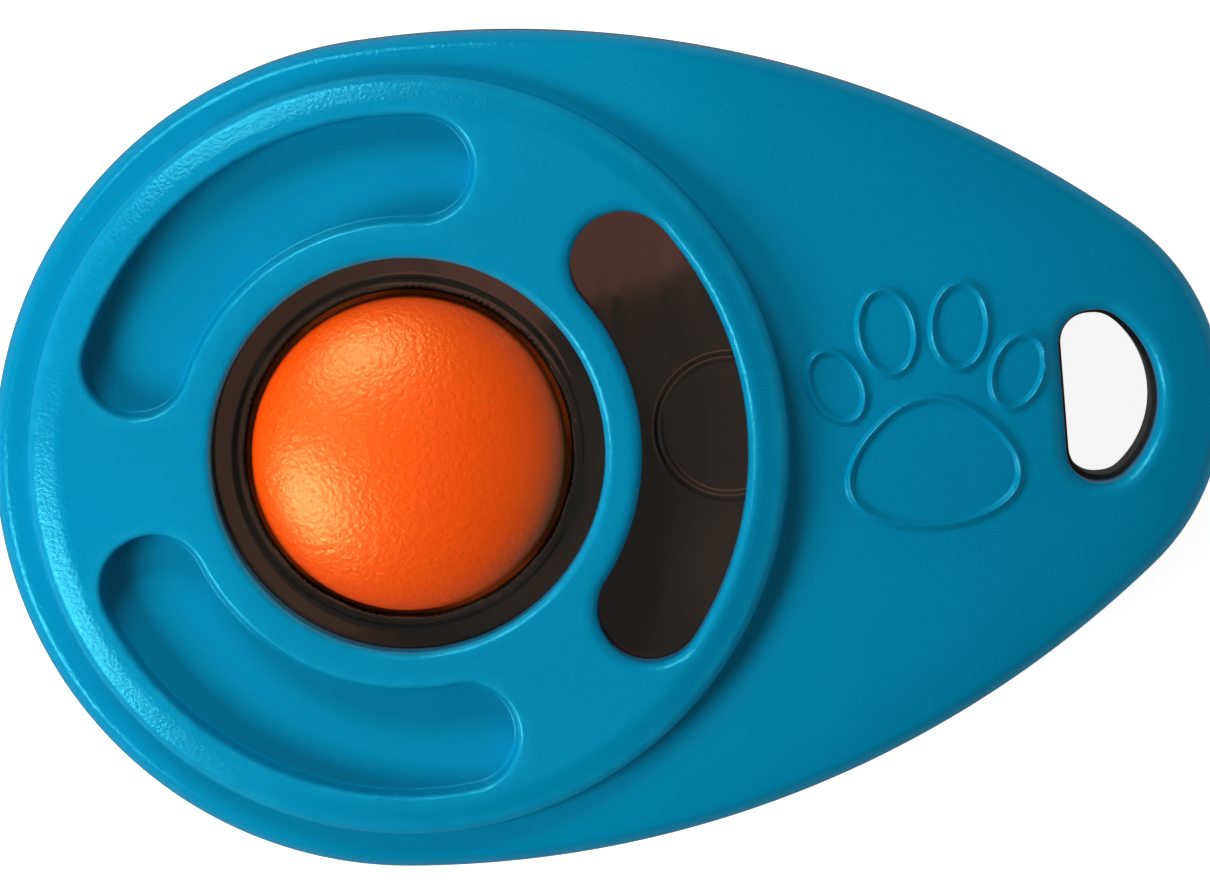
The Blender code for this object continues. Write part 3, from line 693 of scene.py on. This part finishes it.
def back_inside(x, y):
    """Height of the back shell's inner surface: floor, rim, tubes, posts, pedestal and eye wall."""
    depth = outline_depth(x, y)
    height = np.full(x.shape, BACK_FLOOR)
    height = np.where((depth > RIM_IN) & (depth < RIM_OUT), rim_height(x), height)
    height = np.where(nearest(x, y, SCREWS) < TUBE_RADIUS, TUBE_TOP, height)
    height = np.where(nearest(x, y, STAYS) < DECK_POST_RADIUS, BACK_HIGH[2], height)
    block = (x > PEDESTAL[0]) & (x < PEDESTAL[1]) & (np.abs(y) < PEDESTAL_HALF)
    height = np.where(block, STRIP_LOW[2] - METAL_GAP, height)
    height = np.where(eye_distance(x, y, 0.0) < EYE_WALL, EYE_TOP_BACK, height)
    return np.where(depth < RIM_IN, SEAM_BACK, height)


def back_under(x, y):
    """Height of the flat back: level, with a small round at the bores and at the eye."""
    height = BORE_LIP * quarter((nearest(x, y, SCREWS) - BORE_WIDE) / BORE_LIP)
    return height + EYE_LIP_BACK * quarter(eye_distance(x, y, 0.0) / EYE_LIP_BACK)


def back_under_points():
    """Points round the bores' and the eye's lips under the back shell, and a grid between them."""
    lips = [circle(BORE_WIDE + step, at, 0.25) for at in SCREWS for step in lip_steps(BORE_LIP)]
    lips = np.vstack(lips + [eye_loop(step) for step in lip_steps(EYE_LIP_BACK)])
    lips = lips[outline_depth(*lips.T) > BACK_EDGE + 0.02]
    grid = hex_grid(*CASE_AREA, 1.2)
    clear = (outline_depth(*grid.T) > BACK_EDGE + 0.4) & (nearest(*grid.T, SCREWS) > BORE_WIDE + 0.6)
    clear &= eye_distance(*grid.T, 0.0) > 1.2
    return np.vstack((lips, grid[clear]))


def back_inside_points():
    """Points on both sides of each step inside the back shell, and a coarse grid."""
    loops = [arc_loop(CASE_ARCS, -edge + side, 0.8) for edge in (RIM_IN, RIM_OUT) for side in BOTH_SIDES]
    loops += [circle(TUBE_RADIUS + side, at, 0.5) for at in SCREWS for side in BOTH_SIDES]
    loops += [circle(DECK_POST_RADIUS + side, at, 0.4) for at in STAYS for side in BOTH_SIDES]
    loops += [eye_loop(EYE_WALL + side) for side in BOTH_SIDES]
    start, end = PEDESTAL
    corners = ((start, -1), (end, -1), (end, 1), (start, 1))
    block = np.array([(x, side * PEDESTAL_HALF) for x, side in corners])
    outward = np.sign(block - (0.5 * (start + end), 0.0))
    loops += [fill_gaps(block + side * outward, 0.5) for side in BOTH_SIDES]
    points = np.vstack(loops + [hex_grid(*CASE_AREA, 1.5)])
    keep = (outline_depth(*points.T) > 0.2) & (eye_distance(*points.T, 0.0) > 0.05)
    return points[keep & (nearest(*points.T, SCREWS) > BORE_NARROW + 0.05)]


def make_back_shell(look):
    """The black back: its edge, the screw bores and the eye, the flat back, and the inside."""
    shape = Shape()
    turns = [math.radians(a) for a in range(0, 91, 10)]
    rings = [shape.ring(arc_loop(CASE_ARCS, -BACK_EDGE * (1.0 - math.sin(a))),
                        1.1 * BACK_EDGE * (1.0 - math.cos(a)), 0.5) for a in turns]
    rings.append(shape.ring(arc_loop(CASE_ARCS), SEAM_BACK - SEAM_SOFT))
    rings.append(shape.ring(arc_loop(CASE_ARCS, -SEAM_SOFT), SEAM_BACK))
    shape.bridge(*rings)
    unders, insides = [rings[0]], [rings[-1]]
    for at in SCREWS:
        bore = [shape.ring(circle(BORE_WIDE, at, 0.2, radius - BORE_WIDE), height)
                for radius, height in BORE_PROFILE]
        shape.bridge(*reversed(bore))
        unders.append(bore[0])
        insides.append(bore[-1])
    eye = [shape.ring(eye_loop(0.0), height) for height in (EYE_LIP_BACK, EYE_TOP_BACK)]
    shape.bridge(*reversed(eye))
    unders.append(eye[0])
    insides.append(eye[-1])
    shape.fill(unders, back_under_points(), back_under, up=False)
    shape.fill(insides, back_inside_points(), back_inside)
    return shape.build("back_shell_moulding", look, "case", "back_shell")


# ---- button, deck and click strip


DECK_TOP = 10.2
DECK_UNDER = 8.7
BUTTON_RADIUS = 8.15
BUTTON_DRAFT = 0.05
BUTTON_SHOULDER = 12.0
BUTTON_WALL = 1.2
DOME_POWER = 1.24
FLANGE_TOP = 8.4
PLUNGER_RADIUS = 1.6
PLUNGER_BEVEL = 0.4


def make_button(look):
    """The hollow dome, turned in one profile with its flange and its plunger."""
    top = BUTTON_RADIUS - BUTTON_DRAFT
    rise = BUTTON_HIGH[2] - BUTTON_SHOULDER
    inner, vault = top - BUTTON_WALL, rise - BUTTON_WALL
    flange, flange_under = BUTTON_HIGH[0], FLANGE_TOP - BUTTON_WALL
    plunger_turn = math.degrees(math.asin(PLUNGER_RADIUS / inner))

    def dome(radius, height, degrees):
        turn = np.radians(degrees)
        return list(zip(radius * np.sin(turn), BUTTON_SHOULDER + height * np.cos(turn) ** DOME_POWER))

    profile = dome(top, rise, np.append(np.arange(0.0, 87.0, 2.0), (87.0, 88.5, 89.5))) + [
        (top, BUTTON_SHOULDER),
        (BUTTON_RADIUS, DECK_TOP),
        (BUTTON_RADIUS, FLANGE_TOP),
        (flange, FLANGE_TOP),
        (flange, flange_under),
        (inner, flange_under),
    ] + dome(inner, vault, np.linspace(89.0, plunger_turn, 12)) + [
        (PLUNGER_RADIUS, BUTTON_LOW[2] + PLUNGER_BEVEL),
        (PLUNGER_RADIUS - PLUNGER_BEVEL, BUTTON_LOW[2]),
        (0.0, BUTTON_LOW[2]),
    ]
    shape = Shape()
    shape.turn(profile, 160)
    return shape.build("button_cap", look, "button", "button")


BOSS_AT = (16.65, 0.0)
BOSS_RADIUS = 3.95
BOSS_RISE = 0.05
BOSS_DISH = 0.03
BOSS_RIM = 0.35
BOSS_SOFT = 0.3
GUIDE_RADIUS = 9.3
GUIDE_RISE = 0.05
GUIDE_SOFT = 0.5
DECK_RADIUS = 18.2
DECK_HOLE = 8.45
DECK_LIP = 0.12
PAD_RADIUS = 1.4
NOTCH = 2.99
COLLAR_INNER = 9.7
COLLAR_OUTER = 10.7


def deck_height(x, y):
    """Deck top: polished flat, a low guide ring round its hole, the round boss and the three pads."""
    radius = np.hypot(x, y)
    off = BOSS_RADIUS - nearest(x, y, [BOSS_AT])
    height = DECK_TOP + GUIDE_RISE * ease((GUIDE_RADIUS - radius) / GUIDE_SOFT)
    height += BOSS_RISE * ease(off / BOSS_SOFT) - BOSS_DISH * ease((off - BOSS_RIM) / BOSS_SOFT)
    height -= DECK_LIP * quarter((radius - DECK_HOLE) / DECK_LIP)
    return np.where(nearest(x, y, STAYS) < PAD_RADIUS, DECK_HIGH[2], height)


def deck_points(grid):
    """Points along the boss, the guide ring, the hole's lip and the pads, and the grid between them."""
    soft = np.linspace(-0.2, 1.2, 8)
    steps = [*(BOSS_SOFT * soft), *(BOSS_RIM + BOSS_SOFT * soft[2:])]
    loops = [circle(BOSS_RADIUS, BOSS_AT, 0.2, -step) for step in steps]
    loops += [circle(DECK_HOLE, grow=step) for step in lip_steps(DECK_LIP)]
    loops += [circle(GUIDE_RADIUS, grow=-GUIDE_SOFT * step) for step in soft]
    loops += [circle(PAD_RADIUS + side, at, 0.3) for at in STAYS for side in BOTH_SIDES]
    clear = np.abs(nearest(*grid.T, [BOSS_AT]) - BOSS_RADIUS + 0.4) > 0.8
    clear &= np.hypot(*grid.T) > GUIDE_RADIUS + 0.3
    points = np.vstack(loops + [grid[clear]])
    radius = np.hypot(*points.T)
    keep = (radius > DECK_HOLE + 0.005) & (radius < DECK_RADIUS - 0.05)
    return points[keep & (nearest(*points.T, SIDE_SCREWS) > NOTCH + 0.05)]


def make_deck(look):
    """The dark plate: its hole, two holes for the side posts, and the collar under it."""
    shape = Shape()
    outline = circle(DECK_RADIUS)
    tops = [shape.ring(outline, deck_height(*outline.T))]
    unders = [shape.ring(outline, DECK_UNDER)]
    shape.bridge(unders[0], tops[0])
    for loop in (circle(DECK_HOLE), *[circle(NOTCH, at, 0.3) for at in SIDE_SCREWS]):
        tops.append(shape.ring(loop, deck_height(*loop.T)))
        unders.append(shape.ring(loop, DECK_UNDER))
        shape.bridge(tops[-1], unders[-1])
    grid = hex_grid(*TURRET_AREA, 0.8)
    shape.fill(tops, deck_points(grid), deck_height)
    radius = np.hypot(*grid.T)
    coarse = (radius > DECK_HOLE + 0.2) & (radius < DECK_RADIUS - 0.3)
    coarse &= nearest(*grid.T, SIDE_SCREWS) > NOTCH + 0.3
    shape.fill(unders, grid[coarse], lambda x, y: np.full(x.shape, DECK_UNDER), up=False)
    collar_top = DECK_UNDER + 0.2
    shape.turn([(COLLAR_OUTER, collar_top), (COLLAR_OUTER, DECK_LOW[2]),
                (COLLAR_INNER, DECK_LOW[2]), (COLLAR_INNER, collar_top)], 96, closed=True)
    return shape.build("deck_plate", look, "case", "click_deck")


DIMPLE_AT = (8.0, 0.0)
DIMPLE_RADIUS = 2.5
DIMPLE_RISE = 0.4
STRIP_THICK = 0.3
STRIP_CORNER = 1.5
CLAMP_CORNER = 0.6
CLAMP_SCREWS = tuple((19.0, side * 2.4) for side in (1.0, -1.0))
CLAMP_HOLE = 1.05


def box_loop(low, high, corner, grow=0.0):
    """A rectangle with rounded corners, pushed outwards by grow."""
    (left, lower), (right, upper) = low[:2] + corner, high[:2] - corner
    arcs = (
        (right, upper, corner, 0.0, 90.0),
        (left, upper, corner, 90.0, 180.0),
        (left, lower, corner, 180.0, 270.0),
        (right, lower, corner, 270.0, 360.0),
    )
    loop = fill_gaps(arc_loop(arcs, 0.0, 0.2), 0.25)
    middle, half = 0.5 * (low[:2] + high[:2]), 0.5 * (high[:2] - low[:2])
    return middle + (loop - middle) * (half + grow) / half


def screw_holes(shape, tops, unders, top, under):
    """Cut the two clamp screws' holes between two levels."""
    for at in CLAMP_SCREWS:
        loop = circle(CLAMP_HOLE, at, 0.2)
        tops.append(shape.ring(loop, top))
        unders.append(shape.ring(loop, under))
        shape.bridge(tops[-1], unders[-1])


def dimple(x, y):
    """Height of the strip's dimple, whose snapping makes the click."""
    off = nearest(x, y, [DIMPLE_AT]) / DIMPLE_RADIUS
    return DIMPLE_RISE * np.clip(1.0 - off**2, 0.0, None) ** 1.5


def make_strip(look):
    """The spring-steel leaf, with its dimple and the holes for its two screws."""
    shape = Shape()
    under, top, soft = STRIP_LOW[2], STRIP_LOW[2] + STRIP_THICK, 0.06
    rings = [shape.ring(box_loop(STRIP_LOW, STRIP_HIGH, STRIP_CORNER, grow), height, 0.6)
             for grow, height in ((-soft, under), (0.0, under + soft), (0.0, top - soft), (-soft, top))]
    shape.bridge(*rings)
    tops, unders = [rings[-1]], [rings[0]]
    screw_holes(shape, tops, unders, top, under)
    inner = hex_grid(STRIP_LOW[:2] + 0.3, STRIP_HIGH[:2] - 0.3, 0.4)
    inner = inner[nearest(*inner.T, CLAMP_SCREWS) > CLAMP_HOLE + 0.15]
    inner = inner[loop_distance(*inner.T, box_loop(STRIP_LOW, STRIP_HIGH, STRIP_CORNER)) < -0.2]
    shape.fill(tops, inner, lambda x, y: top + dimple(x, y))
    shape.fill(unders, inner, lambda x, y: under + dimple(x, y), up=False)
    leaf = shape.build("click_strip_leaf", look, None, "click_strip")
    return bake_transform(leaf)


def make_clamp(look):
    """The stamped bar over the strip's fixed end, with a rolled upper edge."""
    shape = Shape()
    soft = 0.2
    levels = [(0.0, CLAMP_LOW[2])] + [
        (-soft * (1.0 - math.cos(a)), CLAMP_HIGH[2] - soft * (1.0 - math.sin(a)))
        for a in np.radians((0.0, 30.0, 60.0, 90.0))]
    rings = [shape.ring(box_loop(CLAMP_LOW, CLAMP_HIGH, CLAMP_CORNER, grow), height, 0.7)
             for grow, height in levels]
    shape.bridge(*rings)
    tops, unders = [rings[-1]], [rings[0]]
    screw_holes(shape, tops, unders, CLAMP_HIGH[2], CLAMP_LOW[2])
    shape.fill(tops, (), None)
    shape.fill(unders, (), None, up=False)
    return shape.build("clamp_bar", look, "case", "strip_clamp")


def cross_recess(x, y, reach):
    """Depth share of a cross recess of a given reach, 0 outside it."""
    across = np.minimum(np.abs(x), np.abs(y))
    along = np.maximum(np.abs(x), np.abs(y))
    wall = np.clip((0.17 * reach + 0.25 * (reach - along) - across) / 0.06, 0.0, 1.0)
    return wall * np.clip((reach - along) / (0.5 * reach), 0.0, 1.0)


def make_screw(name, node, look, at, facing):
    """A pan-head screw with a cross recess; facing is 1 for a head that looks up, -1 for down."""
    low, high = node_box(node)
    head = 0.5 * (high[0] - low[0])
    shank, length = 0.5 * head, high[2] - low[2]
    face, tall = (high[2], 1.1) if facing > 0 else (low[2], 1.5)
    dome, recess = 0.35, 0.75
    pitch, thread, point = 0.4, 0.16, 0.9

    def crown(x, y):
        off = nearest(x, y, [at]) / head
        return face - facing * (dome * off**3 + recess * cross_recess(x - at[0], y - at[1], 0.62 * head))

    profile = [(head - 0.12, dome), (head - 0.03, dome + 0.06), (head, dome + 0.18)]
    profile += [(head, tall), (shank, tall)]
    for start in np.arange(tall + 0.5 * pitch, length - point, pitch):
        profile += [(shank - thread, start), (shank, start + 0.5 * pitch)]
    profile += [(0.3 * shank, length), (0.0, length)]
    shape = Shape()
    rows = shape.turn([(radius, face - facing * down) for radius, down in profile], 64, at, 0.5)
    grid = hex_grid(np.array(at) - head, np.array(at) + head, 0.09)
    shape.fill([rows[0]], grid[nearest(*grid.T, [at]) < head - 0.2], crown)
    return shape.build(name, look, "case", node)


# ---- materials


class Look:
    """A node material round one Principled shader, in object coordinates."""

    def __init__(self, name, **sockets):
        self.material = bpy.data.materials.new(name)
        self.material.use_nodes = True
        self.tree = self.material.node_tree
        self.shader = self.tree.nodes["Principled BSDF"]
        for socket, value in sockets.items():
            self.shader.inputs[socket.replace("_", " ")].default_value = value
        self.place = self.add("ShaderNodeTexCoord").outputs["Object"]

    def add(self, kind, links=None, **settings):
        """A node with its settings and its sockets, each a value or another node's output."""
        node = self.tree.nodes.new(kind)
        for key, value in settings.items():
            setattr(node, key, value)
        for key, value in (links or {}).items():
            if isinstance(value, bpy.types.NodeSocket):
                self.tree.links.new(value, node.inputs[key])
            else:
                node.inputs[key].default_value = value
        return node

    def noise(self, scale, detail=3.0, stretch=None):
        """Noise with features of about 1/scale metres, longer along an axis whose stretch is small."""
        place = self.place
        if stretch:
            place = self.add("ShaderNodeMapping", {"Vector": place, "Scale": stretch}).outputs[0]
        noise = self.add("ShaderNodeTexNoise", {"Vector": place, "Scale": scale, "Detail": detail})
        return noise.outputs[0]

    def span(self, value, low, high, start=0.3, end=0.7):
        links = {"Value": value, "From Min": start, "From Max": end, "To Min": low, "To Max": high}
        return self.add("ShaderNodeMapRange", links).outputs[0]

    def mix(self, share, a, b):
        """One colour passing into another. Each is a tuple or another node's output."""
        a, b = ((*c, 1.0) if isinstance(c, tuple) else c for c in (a, b))
        return self.add("ShaderNodeMix", {0: share, 6: a, 7: b}, data_type="RGBA").outputs[2]

    def plus(self, a, b, operation="ADD"):
        return self.add("ShaderNodeMath", {0: a, 1: b}, operation=operation).outputs[0]

    def times(self, a, b):
        return self.plus(a, b, "MULTIPLY")

    def worn(self):
        """Edge wear, broken up by noise."""
        edge = self.add("ShaderNodeAttribute", attribute_name="edge_wear").outputs["Fac"]
        return self.times(edge, self.span(self.noise(900.0), 0.2, 1.0))

    def bump(self, height, depth, under=None):
        links = {"Height": height, "Distance": depth, "Strength": 1.0}
        if under:
            links["Normal"] = under
        return self.add("ShaderNodeBump", links).outputs[0]

    def drive(self, socket, value):
        self.tree.links.new(value, self.shader.inputs[socket])


def moulded_plastic(name, colour, rubbed, roughness, grain, depth, **sockets):
    """Moulded plastic: slight colour drift, a fine spark-eroded grain and rubbed edges."""
    look = Look(name, **sockets)
    drift = look.span(look.noise(70.0, 2.0), 0.0, 1.0)
    base = look.mix(drift, tuple(0.95 * c for c in colour), tuple(min(1.0, 1.05 * c) for c in colour))
    worn = look.worn()
    look.drive("Base Color", look.mix(worn, base, rubbed))
    rough = look.span(look.noise(2600.0), roughness - 0.03, roughness + 0.04)
    look.drive("Roughness", look.plus(rough, look.times(worn, -0.06)))
    coarse = look.bump(look.noise(grain * 0.3, 2.0), depth * 0.4)
    look.drive("Normal", look.bump(look.noise(grain, 4.0), depth, coarse))
    return look.material


def leather_grain(name, colour, dark, depth):
    """The button's plastic: a fine pebbled grain, with its valleys darkened by painted shade."""
    look = Look(name, Specular_Tint=(1.0, 0.8, 0.1, 1.0), Specular_IOR_Level=1.0, Coat_Weight=0.3,
                Coat_Roughness=0.28, Subsurface_Weight=0.3, Subsurface_Scale=0.0015,
                Subsurface_Radius=(1.0, 0.4, 0.1))
    cells = look.add("ShaderNodeTexVoronoi", {"Vector": look.place, "Scale": 3300.0, "Randomness": 1.0},
                     feature="SMOOTH_F1").outputs["Distance"]
    fine = look.noise(5600.0, 3.0)
    height = look.plus(look.times(cells, -0.6), look.times(fine, 0.8))
    drift = look.span(look.noise(90.0, 2.0), 0.0, 1.0)
    base = look.mix(drift, colour, tuple(0.96 * c for c in colour))
    # Painted shade: where the fine noise is low, the grain's valleys, the colour blends towards the dark
    # one.
    look.drive("Base Color", look.mix(look.span(fine, 0.14, 0.0), base, dark))
    look.drive("Roughness", look.span(fine, 0.36, 0.46))
    grain = look.bump(height, depth)
    look.drive("Normal", grain)
    look.drive("Coat Normal", grain)
    return look.material


def polished_plastic(name):
    """Glossy smoke-black plastic with faint hairline scratches and mould flow."""
    look = Look(name, Specular_Tint=(1.0, 0.93, 0.85, 1.0))
    drift = look.span(look.noise(120.0, 3.0), 0.0, 1.0)
    look.drive("Base Color", look.mix(drift, (0.014, 0.0095, 0.0075), (0.02, 0.014, 0.011)))
    hair = look.noise(900.0, 6.0, (1.0, 0.06, 1.0))
    look.drive("Roughness", look.span(hair, 0.015, 0.05))
    look.drive("Normal", look.bump(look.noise(60.0, 2.0), 0.00001))
    return look.material


def bright_metal(name, colour, roughness, stretch, depth):
    """Rolled or plated metal, with marks drawn out along the stretch."""
    look = Look(name, Metallic=1.0)
    marks = look.noise(2600.0, 5.0, stretch)
    stain = look.span(look.noise(260.0, 4.0), 0.0, 0.5)
    look.drive("Base Color", look.mix(stain, colour, tuple(0.72 * c for c in colour)))
    look.drive("Roughness", look.span(marks, roughness - 0.06, roughness + 0.12))
    look.drive("Normal", look.bump(marks, depth))
    return look.material


# ---- studio


PHOTO_ROLL = 4.55
PHOTO_LEAN = 2.7
CAMERA_DISTANCE = 0.62
VIEW_WIDTH = 0.06333
VIEW_MIDDLE = (0.01016, -0.00053, 0.001 * SEAM_TOP)
CARD_TURN = 21.6
CARD_CORNER = 0.0276
CARD_HEIGHT = 1.0


def make_floor():
    """A pale floor under the object and a pale wall far round it, which only the camera sees."""
    size, height, steps = 1.25, 0.7, 64
    look = Look("studio_floor", Roughness=0.7, Emission_Strength=0.9, Emission_Color=(1.0,) * 4)
    tint = look.span(look.noise(4.0, 2.0), 0.0, 1.0)
    look.drive("Base Color", look.mix(tint, (0.42, 0.42, 0.42), (0.44, 0.44, 0.44)))
    turns = [2.0 * math.pi * i / steps for i in range(steps)]
    wall = [(size * math.cos(a), size * math.sin(a), z) for z in (0.0, height) for a in turns]
    sides = [(i, (i + 1) % steps, steps + (i + 1) % steps, steps + i) for i in range(steps)]
    corners = [(-size, -size, 0), (size, -size, 0), (size, size, 0), (-size, size, 0)]
    parts = (("studio_floor", corners, [(0, 1, 2, 3)]), ("studio_wall", wall, sides))
    for name, points, faces in parts:
        mesh = bpy.data.meshes.new(name)
        mesh.from_pydata(points, [], faces)
        mesh.materials.append(look.material)
        stage = add_object(name, mesh)
        stage.location.z = 0.001 * min(BACK_LOW[2], 0.0) - 0.0001
        stage.visible_glossy = False
    stage.visible_diffuse = False
    stage.visible_shadow = False
    stage.visible_transmission = False


def add_light(name, place, face, size, power, colour=(1.0, 1.0, 1.0)):
    """A soft box at a place, its light going against the direction face."""
    data = bpy.data.lights.new(name, "AREA")
    data.shape = "RECTANGLE"
    data.size, data.size_y = size
    data.energy = power
    data.color = colour
    lamp = add_object(name, data)
    lamp.location = place
    lamp.rotation_euler = face.to_track_quat("Z", "Y").to_euler()
    return lamp


def away(azimuth, elevation):
    """Direction at an azimuth from the picture's right and an elevation."""
    side, turn = math.radians(elevation), math.radians(azimuth - PHOTO_ROLL)
    return Vector((math.cos(side) * math.cos(turn), math.cos(side) * math.sin(turn), math.sin(side)))


def make_lights():
    """Two near soft boxes on the head's side, a weak far fill, and dim cards that the deck mirrors.

    The cards lie overhead. The warm and the brown one meet along an edge, which shows in the deck.
    """
    middle = Vector((0.005, 0.0, 0.008))
    for name, azimuth, elevation, distance, size, power in (
            ("soft_box_back", 120.0, 40.0, 0.18, (0.08, 0.065), 0.22),
            ("soft_box_front", 206.0, 38.0, 0.16, (0.07, 0.06), 0.225),
            ("soft_box_fill", -10.0, 16.0, 0.45, (0.3, 0.3), 0.42)):
        face = away(azimuth, elevation)
        lamp = add_light(name, middle + distance * face, face, size, power)
        lamp.visible_glossy = "fill" not in name
    right, up = away(0.0, 0.0), away(90.0, 0.0)
    turn = math.radians(CARD_TURN)
    edge = right * math.cos(turn) + up * math.sin(turn)
    across = up * math.cos(turn) - right * math.sin(turn)
    corner = Vector(VIEW_MIDDLE) - CARD_CORNER * up + Vector((0.0, 0.0, CARD_HEIGHT))
    for name, along, aside, lift, size, power, colour in (
            ("warm_card", 0.05, 0.06, 0.0, (0.14, 0.12), 0.075, (1.0, 0.38, 0.3)),
            ("brown_card", -0.09, 0.04, 0.0, (0.14, 0.14), 0.038, (1.0, 0.37, 0.23)),
            ("ceiling_card", 0.0, 0.0, 0.05, (0.5, 0.5), 0.15, (1.0, 0.95, 0.85))):
        place = corner + along * edge + aside * across + Vector((0.0, 0.0, lift))
        card = add_light(name, place, Vector((0.0, 0.0, 1.0)), size, power, colour)
        card.rotation_euler = (0.0, 0.0, math.atan2(edge.y, edge.x))


def make_world(strength):
    """Even white light from all round."""
    world = bpy.data.worlds.new("studio")
    world.use_nodes = True
    background = world.node_tree.nodes["Background"]
    background.inputs["Color"].default_value = (1.0,) * 4
    background.inputs["Strength"].default_value = strength
    bpy.context.scene.world = world


def make_camera():
    """A long lens almost straight above the front, rolled so that the case leans in the frame."""
    data = bpy.data.cameras.new("camera")
    data.sensor_width = 36.0
    data.lens = data.sensor_width * CAMERA_DISTANCE / VIEW_WIDTH
    camera = add_object("camera", data)
    roll, lean = math.radians(PHOTO_ROLL), math.radians(PHOTO_LEAN)
    right = Vector((math.cos(roll), -math.sin(roll), 0.0))
    level_up = Vector((math.sin(roll), math.cos(roll), 0.0))
    back = math.cos(lean) * Vector((0.0, 0.0, 1.0)) + math.sin(lean) * level_up
    up = back.cross(right)
    turn = Matrix((right, up, back)).transposed().to_4x4()
    camera.matrix_world = Matrix.Translation(Vector(VIEW_MIDDLE) + CAMERA_DISTANCE * back) @ turn
    bpy.context.scene.camera = camera


# ---- the object


BLUE = (0.0, 0.212, 0.385)
BLUE_RUBBED = (0.004, 0.27, 0.46)
BLACK = (0.017, 0.016, 0.015)
BLACK_RUBBED = (0.04, 0.038, 0.035)
ORANGE = (0.9, 0.07, 0.001)
# Painted shade for the button grain's valleys.
ORANGE_VALLEY_SHADE = (0.7, 0.06, 0.002)

blue = moulded_plastic("blue_satin_plastic", BLUE, BLUE_RUBBED, 0.23, 5200.0, 0.00003,
                       Specular_Tint=(0.1, 0.85, 1.0, 1.0))
black = moulded_plastic("black_satin_plastic", BLACK, BLACK_RUBBED, 0.42, 4600.0, 0.000008)
orange = leather_grain("orange_grained_plastic", ORANGE, ORANGE_VALLEY_SHADE, 0.00005)
gloss = polished_plastic("gloss_black_plastic")
spring = bright_metal("rolled_spring_steel", (0.60, 0.60, 0.59), 0.24, (0.06, 1.0, 1.0), 0.000004)
stamped = bright_metal("stamped_steel", (0.52, 0.52, 0.51), 0.34, (1.0, 0.3, 1.0), 0.000006)
zinc = bright_metal("zinc_plated_steel", (0.58, 0.57, 0.52), 0.3, (1.0, 1.0, 1.0), 0.000005)

make_front_shell(blue)
make_back_shell(black)
make_deck(gloss)
make_button(orange)
make_strip(spring)
make_clamp(stamped)
for side, at in zip(("left", "right"), CLAMP_SCREWS):
    make_screw(f"strip_screw_{side}", f"clamp_screw_{side}", zinc, at, 1)
for side, at in zip(("tail", "left", "right"), SCREWS):
    make_screw(f"back_screw_{side}", f"case_screw_{side}", zinc, at, -1)

make_floor()
make_world(0.13)
make_lights()
make_camera()
bpy.context.scene.view_settings.view_transform = "Standard"
